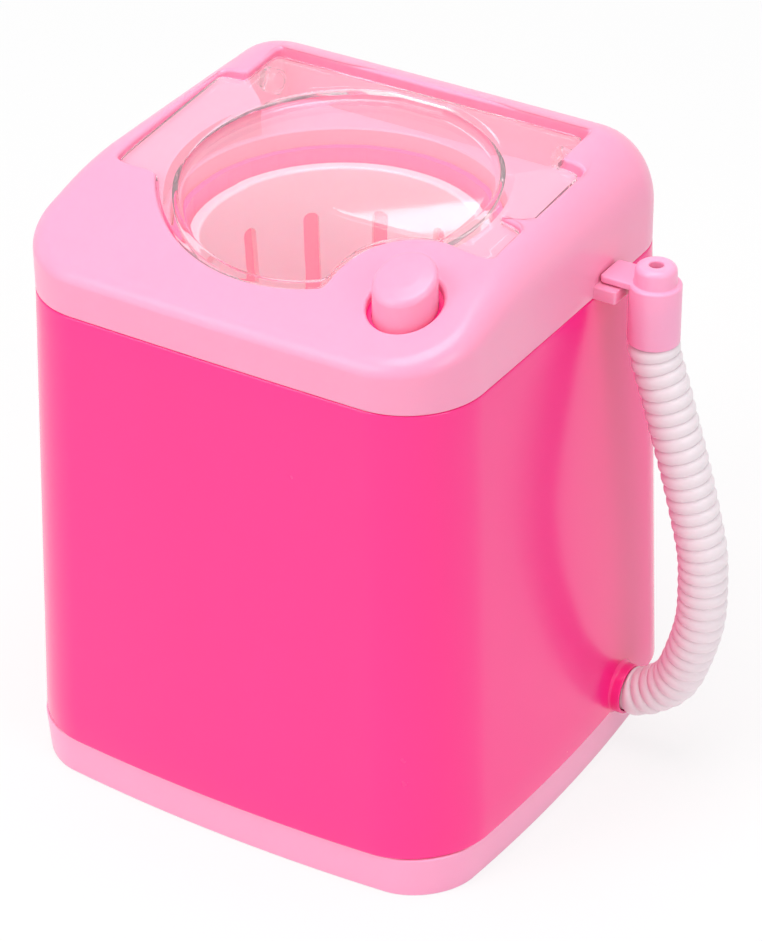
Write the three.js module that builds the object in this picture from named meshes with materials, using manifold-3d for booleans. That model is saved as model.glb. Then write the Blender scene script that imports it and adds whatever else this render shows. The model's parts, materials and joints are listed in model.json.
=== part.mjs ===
// Toy top-loading washing machine with a clear lid, a spinning basket and a ribbed drain hose.
// Millimetres, +Z up, the front faces -Y. The origin is the middle of the underside of the base.
import * as THREE from 'three';
import { mergeVertices } from 'three/addons/utils/BufferGeometryUtils.js';
import Module from 'manifold-3d';

const wasm = await Module();
wasm.setup();

// Heights of the housing
const baseHeight = 9;
const totalHeight = 130;
const coverHeight = 23;
const bandHeight = totalHeight - coverHeight;
const wall = 1.8;
const bodyWall = 2;

// Outlines: half width, half depth and how far the sides bow outward, then the corner radii at front and rear
const footHalf = [51.4, 48.8, 3];
const baseTopHalf = [51.9, 49.2, 3];
const bodyFootHalf = [52.75, 50, 3];
const bodyTopHalf = [48.3, 45.5, 0.4];
const baseCorners = [12, 12];
const bodyFootCorners = [16, 13];
const bodyTopCorners = [16, 13.5];
const cornerSteps = 4;
const edgeSteps = 3;

// Slope of the top: nearly level at the back, a steeper panel at the front
const backSlope = 0.084;
const frontSlope = 0.34;
const levelStart = 33;
const bendStart = -10;
const bendEnd = -24;
const frontRoundInset = 3;
const frontRoundDrop = 2.2;
const rearRoundInset = 13;
const rearRoundDrop = 16;
const roundSteps = 3;

// General fits and cutting
const seatGap = 0.3;
const slideGap = 0.06;
const overrun = 1;
const rimShares = [0.8, 0.5];
const boreSides = 6;
const roundSides = 8;
const fineSides = 24;
const bowlSides = 32;

// Lid recess in the cover
const axisY = -1.5;
const arcCentreY = 1;
const arcRadius = 36;
const recessBorder = 7.3;
const recessHalf = bodyTopHalf[0] - recessBorder;
const recessFrontY = -16.8;
const blockFrontY = 20.5;
const wellHalf = 35.4;
const wellRearY = 32.5;
const wellRadius = 33.2;
const mouthRadius = 32;
const ledgeDrop = 2.6;
const deckDrop = 11;
const deckHeight = totalHeight - deckDrop;

// Push button in the front right corner
const buttonInset = [16.4, 15.9];
const buttonAt = [bodyTopHalf[0] - buttonInset[0], buttonInset[1] - bodyTopHalf[1]];
const bossRadius = 16.3;
const buttonHoleRadius = 7.05;
const buttonRadius = 6;
const buttonDrop = 3.2;
const buttonTop = totalHeight - buttonDrop;
const buttonSlope = 0.42;
const buttonTravel = 2.5;
const guideWall = 1.3;
const guideDepth = 17;
const guideFoot = totalHeight - guideDepth;
const flangeThick = 2;
const stemRadius = 3;
const plungerRadius = 1.2;

// Switch and its plate under the button
const plateDrop = 4.5;
const plateTop = bandHeight - plateDrop;
const plateThick = 2;
const stemReach = 3.1;
const stemFoot = plateTop - stemReach;
const plungerLength = 5.4;
const plungerFoot = stemFoot - plungerLength;
const plateScrewReach = 11.5;
const plateLugRadius = 3;
const switchSize = [12, 6.4, 6];
const switchDrop = 6;
const switchTop = plateTop - switchDrop;
const cheekThick = 1.2;
const springWire = 0.4;
const springTurns = 4;
const springRadius = 5;
const springMargin = 0.7;
const edgeRound = 1;
const flangeFoot = guideFoot - flangeThick - slideGap;
const switchFoot = switchTop - switchSize[2];
const switchTerminalReach = 3.3;

// Lid
const lidDrop = 0.8;
const lidThick = 1.5;
const dishDepth = 2;
const dishThick = 1.3;
const dishRadius = 30.4;
const dishWall = 1.1;
const lidSideGap = 0.3;
const lidFrontGap = 0.5;
const lidWingRearY = 18.9;
const lidRearY = 30.5;
const hingeDrop = 5;
const hingeAt = [26, totalHeight - hingeDrop];
const knuckleRadius = 2.5;
const knuckleWidth = 3.6;
const pinRadius = 1.5;
const pinReach = 1.6;

// Screws: long ones into corner posts, short ones everywhere else
const screwShank = 1;
const screwBore = 1.3;
const screwHead = 2.2;
const screwHeadThick = 1.6;
const bossRound = 3.2;
const lugScrewLength = 8;
const bracketScrewLength = 10;
const motorScrewLength = 5;

// Cover and tub fixings
const lugDrop = 3.8;
const lugThick = 2.5;
const lugTop = bandHeight - lugDrop;
const lugFoot = lugTop - lugThick;
const lugInset = [5.1, 5.9];
const sideLugY = -8;
const coverLugs = [
  [0, lugInset[1] - bodyTopHalf[1]], [bodyTopHalf[0] - lugInset[0], sideLugY],
  [0, bodyTopHalf[1] - lugInset[1]], [lugInset[0] - bodyTopHalf[0], sideLugY],
];
const skirtDepth = 3.5;
const skirtFoot = bandHeight - skirtDepth;
const skirtInset = 2.3;
const skirtThick = 1.7;
const shelfThick = 2;
const tubLugReach = 36;
const tubLugAngles = [40, 160, 250];
const tubLugRise = 1;
const tubLugTop = bandHeight + tubLugRise;
const tubLugThick = 1.8;

// Tub and basket
const tubRadius = 31.6;
const tubWall = 1.4;
const tubFloor = 50.5;
const tubFloorThick = 2;
const tubRimGap = 3.4;
const tubRim = deckHeight - tubRimGap;
const hubBossRadius = 7;
const hubBossTop = 53;
const hubBossFoot = 47.2;
const basketTopRadius = 28;
const basketFootRadius = 25.4;
const basketRimRadius = 29.2;
const basketRimDrop = 2.6;
const basketRim = tubRim - basketRimDrop;
const basketFloor = 55;
const basketWall = 1.3;
const basketFloorThick = 1.8;
const slotCount = 12;
const slotWidth = 3.2;
const slotFoot = 64;
const slotHeadDrop = 9;
const slotHead = basketRim - slotHeadDrop;
const hubRadius = 5.5;
const hubTop = 65;
const basketDrainReach = 18;
const basketDrainRadius = 1.4;
const pulsatorRadius = 14;
const pulsatorHeight = 14;
const drainNozzleAt = [26, 6];
const nozzleRadius = 1.7;
const nozzleBore = 1;
const nozzleFoot = 42;
const pipeRadius = 2.8;
const pipeBore = 2.1;

// Drive
const shaftRadius = 2;
const shaftFoot = 36.8;
const shaftTop = 62;
const gearModule = 0.5;
const gearTeeth = 48;
const pinionTeeth = 12;
const gearFoot = 41.8;
const gearThick = 3.5;
const pinionFoot = 41.5;
const pinionThick = 4.6;
const bushRadius = 4;
const flangeReach = 1.5;
const flangeStep = 1;
const lowerBushRadius = 3;
const bracketTop = 40.5;
const bracketThick = 2;
const bracketHalf = [22, 23];
const bracketCentreY = -5;
const bracketPosts = [[-18, -16], [18, -16], [0, 15]];
const bracketPostTop = 44.5;
const motorRadius = 10;
const motorFlat = 7.6;
const motorFoot = 13.5;
const motorShaftRadius = 1;
const endCapThick = 2.5;
const terminalSize = [2, 0.5, 2.5];
const terminalReach = 6;
const motorScrewReach = 6;
const cupDepth = 8;
const motorAt = [0, -16.5];
const motorScrewHead = 1.7;
const bracketCorner = 4;
const gearHub = [41.4, 45.9];
const bushLength = 3.8;
const cupWall = 1.2;

// Batteries: two AA cells side by side along X, behind the middle
const cellRadius = 7.1;
const cellLength = 49.5;
const nubRadius = 2.7;
const nubLength = 1;
const cellHeight = 9.4;
const cellRows = [17.9, 33.6];
const bayHalf = 29;
const bayFrontY = 10;
const bayRearY = 41.5;
const bayWall = 2.5;
const roofThick = 1.5;
const bayRoof = 17.2;
const floorThick = 2;
const doorThick = 1.7;
const doorBorder = 1;
const doorScrewAt = [-34, 25.75];
const doorPostTop = 8;
const doorSeat = 1.1;
const tongueHalf = 4;
const gripInset = 6;
const gripPitch = 4;
const gripWidth = 1.6;
const contactThick = 0.4;
const contactTabTop = 21;
const contactTabWidth = 4;
const contactReach = 4.5;
const contactFoot = 3;
const contactTop = 15.5;
const batterySpringWire = 0.4;
const batterySpringRadius = 3.4;

// Base fixings
const postRadius = 3.6;
const counterboreRadius = 2.7;
const screwSeat = 4;
const bodyPostTop = 24;
const lipTop = 12.5;
const lipFoot = 7;
const lipInset = 2.3;
const lipThick = 1.7;
const baseWall = 2.4;

// Drain port and hose
const portY = 20;
const portZ = 13.2;
const portStandOff = 1.75;
const portReach = bodyFootHalf[0] + portStandOff;
const portRadius = 5.2;
const portBore = 4.6;
const cuffRadius = 4.3;
const hoseRadius = 5;
const hoseBore = 3.4;
const ribDepth = 0.5;
const ribPitch = 2.7;
const capStandOff = 10.5;
const capAt = [bodyTopHalf[0] + capStandOff, 16];
const capHang = 8;
const capFoot = bandHeight - capHang;
const capRise = 4.4;
const capTop = bandHeight + capRise;
const capRadius = 5.05;
const hoseTop = bandHeight;
const tabThick = 1.4;
const tabStandOff = 0.2;
const tabStartX = bodyTopHalf[0] + tabStandOff;
const tabY = [12.7, 20.3];
const clipY = [11, 19];
const clipReach = 4.7;
const clipX = bodyTopHalf[0] + clipReach;
const clipThick = 2.7;
const clipZ = [bandHeight, bandHeight + clipThick];
const pegRadius = 1.4;
const pegStandOff = 2.6;
const pegAt = [bodyTopHalf[0] + pegStandOff, 15];
const pegRise = 0.6;
const pegFoot = bandHeight + pegRise;
const capNozzleRise = 3.8;
const capNozzleTop = capTop + capNozzleRise;
const capNozzleRadius = 4.1;
const capHoleRadius = 1.35;

// Route of the hose, chosen by hand: it leaves the port level, sags outward and climbs to the cap
const drawnPortReach = 54.5;
const drawnCapX = 58.8;
const drawnTop = 107;
const drawnRoute = [
  [47, 20, 13.2], [52, 20, 13.2], [56.2, 20, 13.5], [60.1, 20, 15.7], [64.5, 19.8, 20], [67.7, 19.5, 28],
  [69.9, 19, 37], [70.3, 18.6, 45.3], [70, 18.2, 53.3], [68.5, 17.8, 61], [66.9, 17.4, 68.2],
  [65.1, 17, 75.3], [63.1, 16.7, 82.4], [61.2, 16.4, 89.4], [59.4, 16.1, 95.5], [58.8, 16, 100],
  [58.8, 16, 107],
];

// The drawn route moves with the port at its foot and with the cap at its top
const hoseRoute = drawnRoute.map(([x, y, z]) => {
  const share = (z - portZ) / (drawnTop - portZ);
  const moved = (1 - share) * (portReach - drawnPortReach) + share * (capAt[0] - drawnCapX);
  return [x + moved, y, portZ + share * (hoseTop - portZ)];
});

// Routes of the inner pipe and wires
const pipeRoute = [
  [26, 6, 48.2], [26, 6, 36], [30, 7, 27], [37.5, 12.5, 18], [42.5, 18.5, 13.5], [46, 20, 13.2], [51, 20, 13.2],
];
const wireRadius = 0.6;
const drawnSwitch = [31.9, -29.6, 96.5];
const wireBendHeight = 50;
const drawnWires = {
  wire_battery_to_switch: [
    [-28.8, 17.9, 21.4], [-31, 14, 27], [-36, -2, 28], [-30, -27, 27], [0, -36, 25], [28, -36, 30],
    [38, -33, 60], [34.1, -27.1, 82], [34.1, -27.1, 87.4],
  ],
  wire_switch_to_motor: [
    [29.7, -32.1, 87.4], [29.7, -32.1, 82], [33, -33.5, 70], [34, -29.5, 40], [22, -27, 14], [6, -21, 9.8],
    [6, -17.1, 9.8],
  ],
  wire_motor_to_battery: [
    [-6, -15.9, 9.8], [-8, -10, 9.8], [-14, 0, 15], [-20, 8, 24], [-26, 24, 25], [-28.8, 33.6, 24],
    [-28.8, 33.6, 21.4],
  ],
};

// The wires' upper ends move with the switch
const wireRoutes = Object.fromEntries(Object.entries(drawnWires).map(([name, points]) => [
  name,
  points.map(([x, y, z]) => (z < wireBendHeight ? [x, y, z] : [
    x + buttonAt[0] - drawnSwitch[0], y + buttonAt[1] - drawnSwitch[1], z + switchTop - drawnSwitch[2],
  ])),
]));

// Finishes, from the photograph
const finishes = {
  pale_pink: ['#fdbcde', 0.32, 0],
  hot_pink: ['#fd4c98', 0.3, 0],
  clear: ['#fbe6eb', 0.08, 0],
  basket_white: ['#f3c5d1', 0.35, 0],
  hose_white: ['#f5ebee', 0.4, 0],
  white_plastic: ['#e9e6e2', 0.45, 0],
  steel: ['#b9bcc0', 0.35, 1],
  brass: ['#c9a55a', 0.35, 1],
  rubber: ['#2c2c2e', 0.8, 0],
  cell_blue: ['#3f5f8a', 0.4, 0.2],
  wire_red: ['#b3322e', 0.5, 0],
};

const model = new THREE.Group();
const ceiling = totalHeight + overrun * 10;
const cellarZ = bandHeight - overrun * 10;

// Boolean solids from three.js geometries, and back again
function solidOf(geometry) {
  const bare = geometry.clone();
  bare.deleteAttribute('normal');
  bare.deleteAttribute('uv');
  const merged = mergeVertices(bare);
  const mesh = new wasm.Mesh({
    numProp: 3,
    vertProperties: new Float32Array(merged.attributes.position.array),
    triVerts: new Uint32Array(merged.index.array),
  });
  return new wasm.Manifold(mesh);
}

function geometryOf(solid) {
  const mesh = solid.getMesh();
  const geometry = new THREE.BufferGeometry();
  geometry.setAttribute('position', new THREE.BufferAttribute(new Float32Array(mesh.vertProperties), 3));
  geometry.setIndex(new THREE.BufferAttribute(new Uint32Array(mesh.triVerts), 1));
  geometry.computeVertexNormals();
  return geometry;
}

function addPiece(name, solid, finish) {
  const [color, roughness, metalness] = finishes[finish];
  const clear = finish === 'clear';
  const material = new THREE.MeshStandardMaterial({
    color, roughness, metalness, transparent: clear, opacity: clear ? 0.35 : 1, flatShading: true,
  });
  const mesh = new THREE.Mesh(geometryOf(solid), material);
  mesh.name = name;
  model.add(mesh);
}

function joined(solids) {
  return solids.reduce((whole, piece) => whole.add(piece));
}

// A box between two corners
function block(low, high) {
  const size = low.map((value, axis) => high[axis] - value);
  const geometry = new THREE.BoxGeometry(...size);
  geometry.translate(...low.map((value, axis) => (value + high[axis]) / 2));
  return solidOf(geometry);
}

// A box turned about Z: length along the turned X, centred at a spot in plan
function turnedBlock(length, width, foot, top, at, angle, across = 0) {
  const geometry = new THREE.BoxGeometry(length, width, top - foot);
  geometry.translate(0, across, (foot + top) / 2);
  geometry.rotateZ(angle);
  geometry.translate(at[0], at[1], 0);
  return solidOf(geometry);
}

function post(radius, foot, top, at = [0, 0], sides = roundSides) {
  const geometry = new THREE.CylinderGeometry(radius, radius, top - foot, sides);
  geometry.rotateX(Math.PI / 2);
  geometry.translate(at[0], at[1], (foot + top) / 2);
  return solidOf(geometry);
}

function pipeAlongX(radius, startX, endX, y, z, sides = roundSides) {
  const geometry = new THREE.CylinderGeometry(radius, radius, Math.abs(endX - startX), sides);
  geometry.rotateZ(Math.PI / 2);
  geometry.translate((startX + endX) / 2, y, z);
  return solidOf(geometry);
}

// A profile of radius and height pairs, turned about a vertical axis
function turned(profile, at = [0, 0], sides = fineSides) {
  const points = profile.map(([radius, height]) => new THREE.Vector2(radius, height));
  const geometry = new THREE.LatheGeometry(points, sides);
  geometry.rotateX(Math.PI / 2);
  geometry.translate(at[0], at[1], 0);
  return solidOf(geometry);
}

// A skin over rings of equal length, closed by a fan at each end
function loft(rings) {
  const count = rings[0].length;
  const positions = rings.flat(2);
  const faces = [];
  for (let level = 0; level < rings.length - 1; level += 1) {
    for (let step = 0; step < count; step += 1) {
      const here = level * count + step;
      const next = level * count + (step + 1) % count;
      faces.push(here, next, next + count, here, next + count, here + count);
    }
  }
  for (const level of [0, rings.length - 1]) {
    const centre = positions.length / 3;
    const sum = rings[level].reduce((total, point) => total.map((value, axis) => value + point[axis]), [0, 0, 0]);
    positions.push(...sum.map((value) => value / count));
    for (let step = 0; step < count; step += 1) {
      const here = level * count + step;
      const next = level * count + (step + 1) % count;
      faces.push(...(level === 0 ? [centre, next, here] : [centre, here, next]));
    }
  }
  const geometry = new THREE.BufferGeometry();
  geometry.setAttribute('position', new THREE.Float32BufferAttribute(positions, 3));
  geometry.setIndex(faces);
  return solidOf(geometry);
}

// Rounded rectangle with the four sides bowed outward, as points with their inward directions
function outline(half, corners) {
  const [halfWidth, halfDepth] = half;
  const [front, rear] = corners;
  const spots = [[1, -1, front], [1, 1, rear], [-1, 1, rear], [-1, -1, front]];
  const points = [];
  spots.forEach(([sideX, sideY, radius], index) => {
    const centre = [sideX * (halfWidth - radius), sideY * (halfDepth - radius)];
    for (let step = 0; step <= cornerSteps; step += 1) {
      const angle = (index - 1 + step / cornerSteps) * Math.PI / 2;
      const away = [Math.cos(angle), Math.sin(angle)];
      points.push({ spot: [centre[0] + radius * away[0], centre[1] + radius * away[1]], away });
    }
    const [nextX, nextY, nextRadius] = spots[(index + 1) % spots.length];
    const last = points[points.length - 1];
    const target = [nextX * (halfWidth - nextRadius), nextY * (halfDepth - nextRadius)];
    const reach = last.away.map((value, axis) => (Math.abs(value) > 0.5 ? last.spot[axis] : target[axis]));
    for (let step = 1; step < edgeSteps; step += 1) {
      const share = step / edgeSteps;
      const spot = last.spot.map((value, axis) => value + share * (reach[axis] - value));
      points.push({ spot, away: last.away });
    }
  });
  return points;
}

function bowed([x, y], [halfWidth, halfDepth, bow]) {
  return [
    x * (1 - bow / halfWidth * (y / halfDepth) ** 2),
    y * (1 - bow / halfDepth * (x / halfWidth) ** 2),
  ];
}

function ring(half, corners, insetAt, heightAt) {
  return outline(half, corners).map(({ spot, away }) => {
    const inset = insetAt(spot[1]);
    const [x, y] = bowed(spot.map((value, axis) => value - inset * away[axis]), half);
    return [x, y, heightAt(y, spot[1])];
  });
}

function flatRing(half, corners, inset, height) {
  return ring(half, corners, () => inset, () => height);
}

function cornerSpots(half, corners, inset) {
  return [[1, -1, corners[0]], [1, 1, corners[1]], [-1, 1, corners[1]], [-1, -1, corners[0]]].map(
    ([sideX, sideY, radius]) => {
      const along = (radius - inset) * Math.SQRT1_2;
      return bowed([sideX * (half[0] - radius + along), sideY * (half[1] - radius + along)], half);
    },
  );
}

// Height of the top surface above the floor, seen along Y
function topHeight(y) {
  const bendTop = totalHeight - backSlope * (levelStart - bendStart);
  const bendLength = bendStart - bendEnd;
  if (y >= levelStart) return totalHeight;
  if (y >= bendStart) return totalHeight - backSlope * (levelStart - y);
  if (y >= bendEnd) {
    const share = (bendStart - y) / bendLength;
    return bendTop - bendLength * share * (backSlope + (frontSlope - backSlope) * share / 2);
  }
  return bendTop - bendLength * (backSlope + frontSlope) / 2 - frontSlope * (bendEnd - y);
}

// Everything between two depths below the top surface, as wide as the machine
function slab(lowDrop, highDrop) {
  const reach = bodyFootHalf[1] + overrun;
  const bends = [0, 0.25, 0.5, 0.75, 1].map((share) => bendEnd + share * (bendStart - bendEnd));
  const stations = [-reach, ...bends, levelStart, reach];
  const lower = stations.map((y) => new THREE.Vector2(y, topHeight(y) - lowDrop));
  const upper = stations.map((y) => new THREE.Vector2(y, topHeight(y) - highDrop)).reverse();
  const width = bodyFootHalf[0] * 2;
  const geometry = new THREE.ExtrudeGeometry(new THREE.Shape([...lower, ...upper]), {
    depth: width, bevelEnabled: false,
  });
  const turn = new THREE.Matrix4().makeBasis(
    new THREE.Vector3(0, 1, 0), new THREE.Vector3(0, 0, 1), new THREE.Vector3(1, 0, 0),
  );
  geometry.applyMatrix4(turn);
  geometry.translate(-width / 2, 0, 0);
  return solidOf(geometry);
}

// The cover's outer form, or the same form set in by a wall
function coverForm(inset, foot) {
  const share = (y) => THREE.MathUtils.clamp(0.5 + y / (2 * bodyTopHalf[1]), 0, 1);
  const insetRound = (y) => frontRoundInset + (rearRoundInset - frontRoundInset) * share(y);
  const dropRound = (y) => frontRoundDrop + (rearRoundDrop - frontRoundDrop) * share(y);
  const rings = [flatRing(bodyTopHalf, bodyTopCorners, inset, foot)];
  for (let step = 0; step <= roundSteps; step += 1) {
    const angle = step / roundSteps * Math.PI / 2;
    rings.push(ring(
      bodyTopHalf, bodyTopCorners,
      (y) => inset + insetRound(y) * (1 - Math.cos(angle)),
      (y, edgeY) => topHeight(y) - inset - dropRound(edgeY) * (1 - Math.sin(angle)),
    ));
  }
  const edge = rings[rings.length - 1];
  for (const size of rimShares) {
    rings.push(edge.map(([x, y]) => [x * size, y * size, topHeight(y * size) - inset]));
  }
  return loft(rings);
}

// Plan form of the lid recess: an arc at the front, a wide middle, a narrow back, cut by the button's boss
function recessForm(grow, arcGrow, wingRear, rear) {
  const front = block([-recessHalf, -bodyTopHalf[1], cellarZ], [recessHalf, arcCentreY, ceiling]);
  return post(arcRadius + arcGrow, cellarZ, ceiling, [0, arcCentreY], bowlSides)
    .intersect(front)
    .add(block([-recessHalf - grow, recessFrontY - grow, cellarZ], [recessHalf + grow, wingRear, ceiling]))
    .add(block([-wellHalf - grow, 0, cellarZ], [wellHalf + grow, rear, ceiling]))
    .subtract(post(bossRadius - grow, cellarZ, ceiling, buttonAt, fineSides));
}

function wellForm(grow) {
  return post(wellRadius + grow, cellarZ, ceiling, [0, axisY], bowlSides)
    .add(block([-wellHalf - grow, blockFrontY - grow, cellarZ], [wellHalf + grow, wellRearY + grow, ceiling]))
    .subtract(post(bossRadius - grow, cellarZ, ceiling, buttonAt, fineSides));
}

// The switch plate's long side runs at right angles to the line from the tub to the button
const plateAngle = Math.atan2(buttonAt[0], axisY - buttonAt[1]);
const plateLugs = [-1, 1].map((side) => [
  buttonAt[0] + side * plateScrewReach * Math.cos(plateAngle),
  buttonAt[1] + side * plateScrewReach * Math.sin(plateAngle),
]);
const tubLugs = tubLugAngles.map((degrees) => {
  const angle = THREE.MathUtils.degToRad(degrees);
  return [tubLugReach * Math.cos(angle), axisY + tubLugReach * Math.sin(angle)];
});
const basePosts = cornerSpots(bodyFootHalf, bodyFootCorners, bodyWall + bossRound - overrun / 2);

function makeCover() {
  const outer = coverForm(0, bandHeight);
  const inner = coverForm(wall, bandHeight - overrun);
  const lowInner = inner.intersect(slab(totalHeight, ledgeDrop + wall));
  const wideWall = recessForm(wall, wall, blockFrontY + wall, wellRearY + wall);
  const deckUnder = block(
    [-bodyTopHalf[0], -bodyTopHalf[1], cellarZ], [bodyTopHalf[0], bodyTopHalf[1], deckHeight - wall],
  );
  const cavity = inner.subtract(wideWall)
    .add(lowInner.subtract(wellForm(wall)))
    .add(lowInner.intersect(deckUnder));
  const envelope = outer.add(loft([
    flatRing(bodyTopHalf, bodyTopCorners, skirtInset, plateTop - overrun),
    flatRing(bodyTopHalf, bodyTopCorners, skirtInset, bandHeight + overrun),
  ]));
  const bosses = joined([
    ...coverLugs.map((at) => post(bossRound, lugTop, ceiling, at)),
    ...tubLugs.map((at) => post(bossRound, tubLugTop, ceiling, at)),
    ...plateLugs.map((at) => post(plateLugRadius, plateTop, ceiling, at)),
    post(buttonHoleRadius + guideWall, guideFoot, ceiling, buttonAt, fineSides),
  ]).intersect(envelope);
  const bores = joined([
    ...coverLugs.map((at) => post(screwBore, lugTop - overrun, lugTop + 8 * overrun, at, boreSides)),
    ...tubLugs.map((at) => post(screwBore, tubLugTop - overrun, tubLugTop + 8 * overrun, at, boreSides)),
    ...plateLugs.map((at) => post(screwBore, plateTop - overrun, plateTop + 8 * overrun, at, boreSides)),
    post(buttonHoleRadius, cellarZ, ceiling, buttonAt, fineSides),
    ...[-1, 1].map((side) => pipeAlongX(
      pinRadius + slideGap, side * (wellHalf - overrun), side * (wellHalf + wall + overrun), ...hingeAt, fineSides,
    )),
  ]);
  const mouth = post(mouthRadius, cellarZ, ceiling, [0, axisY], bowlSides)
    .subtract(post(bossRadius, cellarZ, ceiling, buttonAt, fineSides));
  const skirt = loft([
    flatRing(bodyTopHalf, bodyTopCorners, skirtInset, skirtFoot),
    flatRing(bodyTopHalf, bodyTopCorners, skirtInset, bandHeight + seatGap + shelfThick),
  ]).add(loft([
    flatRing(bodyTopHalf, bodyTopCorners, wall - seatGap, bandHeight + seatGap),
    flatRing(bodyTopHalf, bodyTopCorners, wall - seatGap, bandHeight + seatGap + shelfThick),
  ])).subtract(loft([
    flatRing(bodyTopHalf, bodyTopCorners, skirtInset + skirtThick, skirtFoot - overrun),
    flatRing(bodyTopHalf, bodyTopCorners, skirtInset + skirtThick, bandHeight + shelfThick * 2),
  ]));
  const clip = block([bodyTopHalf[0] - wall, clipY[0], clipZ[0]], [clipX, clipY[1], clipZ[1]])
    .subtract(post(pegRadius + seatGap, clipZ[0] - overrun, clipZ[1] + overrun, pegAt, 12));
  return outer.subtract(cavity)
    .add(skirt)
    .add(bosses)
    .subtract(recessForm(0, 0, blockFrontY, wellRearY).intersect(slab(ledgeDrop, -ceiling)))
    .subtract(wellForm(0).intersect(block(
      [-bodyTopHalf[0], -bodyTopHalf[1], deckHeight], [bodyTopHalf[0], bodyTopHalf[1], ceiling],
    )))
    .subtract(mouth)
    .subtract(bores)
    .add(clip);
}

function makeLid() {
  const plan = recessForm(-lidSideGap, -lidFrontGap, lidWingRearY, lidRearY);
  const dishOuter = dishRadius + dishWall;
  const dish = post(dishOuter, cellarZ, ceiling, [0, axisY], bowlSides);
  const plate = slab(lidDrop + lidThick, lidDrop)
    .subtract(post(dishRadius, cellarZ, ceiling, [0, axisY], bowlSides));
  const deep = lidDrop + dishDepth + dishThick;
  const floor = slab(deep, lidDrop + dishDepth).intersect(dish);
  const rim = slab(deep, lidDrop).intersect(dish)
    .subtract(post(dishRadius, cellarZ, ceiling, [0, axisY], bowlSides));
  const bossWall = slab(deep, lidDrop).intersect(dish)
    .intersect(post(bossRadius + lidSideGap + dishWall, cellarZ, ceiling, buttonAt, fineSides));
  const knuckleEnd = wellHalf - lidSideGap;
  const knuckleStart = knuckleEnd - knuckleWidth;
  const hinge = joined([-1, 1].flatMap((side) => [
    pipeAlongX(knuckleRadius, side * knuckleStart, side * knuckleEnd, ...hingeAt),
    pipeAlongX(pinRadius, side * knuckleStart, side * (wellHalf + pinReach), ...hingeAt, fineSides),
  ]));
  return joined([plate, floor, rim, bossWall]).intersect(plan).add(hinge);
}

function makeBody() {
  const outer = loft([
    flatRing(bodyFootHalf, bodyFootCorners, 0, baseHeight),
    flatRing(bodyTopHalf, bodyTopCorners, 0, bandHeight),
  ]);
  const inner = loft([
    flatRing(bodyFootHalf, bodyFootCorners, bodyWall, baseHeight - overrun),
    flatRing(bodyTopHalf, bodyTopCorners, bodyWall, bandHeight + overrun),
  ]);
  const posts = basePosts.map((at) => post(bossRound, baseHeight, bodyPostTop, at));
  const lugs = coverLugs.map(([x, y]) => {
    const sideways = Math.abs(x) > Math.abs(y);
    const end = sideways ? [x + Math.sign(x) * bossRound * 2, y] : [x, y + Math.sign(y) * bossRound * 2];
    const half = sideways ? [0, bossRound] : [bossRound, 0];
    const low = [Math.min(x, end[0]) - half[0], Math.min(y, end[1]) - half[1], lugFoot];
    const high = [Math.max(x, end[0]) + half[0], Math.max(y, end[1]) + half[1], lugTop];
    return post(bossRound, lugFoot, lugTop, [x, y]).add(block(low, high));
  });
  const port = pipeAlongX(portRadius, bodyFootHalf[0] - bodyWall + seatGap, portReach, portY, portZ, bowlSides / 2);
  return outer.subtract(inner)
    .add(joined([...posts, ...lugs]).intersect(outer))
    .add(port)
    .subtract(joined([
      ...basePosts.map((at) => post(screwBore, baseHeight - overrun, bodyPostTop - bodyWall * 2, at, boreSides)),
      ...coverLugs.map((at) => post(screwBore, lugFoot - overrun, lugTop + overrun, at, boreSides)),
      pipeAlongX(portBore, bodyTopHalf[0] - bodyWall, portReach + overrun, portY, portZ, bowlSides / 2),
    ]));
}

function makeBase() {
  const outer = loft([
    flatRing(footHalf, baseCorners, 0, 0),
    flatRing(baseTopHalf, baseCorners, 0, baseHeight),
  ]);
  const inner = loft([
    flatRing(footHalf, baseCorners, baseWall, floorThick),
    flatRing(baseTopHalf, baseCorners, baseWall, baseHeight + overrun),
  ]);
  const lip = loft([
    flatRing(bodyFootHalf, bodyFootCorners, lipInset, lipFoot),
    flatRing(bodyFootHalf, bodyFootCorners, lipInset, lipTop),
  ]).subtract(loft([
    flatRing(bodyFootHalf, bodyFootCorners, lipInset + lipThick, lipFoot - overrun),
    flatRing(bodyFootHalf, bodyFootCorners, lipInset + lipThick, lipTop + overrun),
  ])).subtract(joined(basePosts.map((at) => post(bossRound + seatGap, baseHeight - overrun, ceiling, at))));
  const bay = block(
    [-bayHalf - bayWall, bayFrontY - bayWall, 0], [bayHalf + bayWall, bayRearY + bayWall, bayRoof + roofThick],
  );
  const hollow = block([-bayHalf, bayFrontY, -overrun], [bayHalf, bayRearY, bayRoof]);
  const posts = basePosts.map((at) => post(postRadius, 0, baseHeight, at));
  const doorPost = post(bossRound, floorThick, doorPostTop, doorScrewAt);
  const doorCut = joined(doorPlates(seatGap, -overrun, doorThick + seatGap / 2));
  const slots = cellRows.map((y) => block(
    [-bayHalf - seatGap, y - contactTabWidth / 2 - seatGap, bayRoof - overrun],
    [-bayHalf + contactThick + seatGap, y + contactTabWidth / 2 + seatGap, ceiling],
  ));
  return outer.subtract(inner)
    .add(joined([lip, bay, ...posts, doorPost]).intersect(outer.add(lip).add(bay).add(doorPost)))
    .subtract(joined([
      hollow, doorCut, ...slots,
      ...basePosts.map((at) => post(counterboreRadius, -overrun, screwSeat, at)),
      ...basePosts.map((at) => post(screwBore, 0, ceiling, at, boreSides)),
      post(screwBore, 0, doorPostTop - floorThick / 2, doorScrewAt, boreSides),
      pipeAlongX(portRadius + seatGap, footHalf[0] - baseWall * 4, portReach, portY, portZ, bowlSides / 2),
    ]));
}

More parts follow.
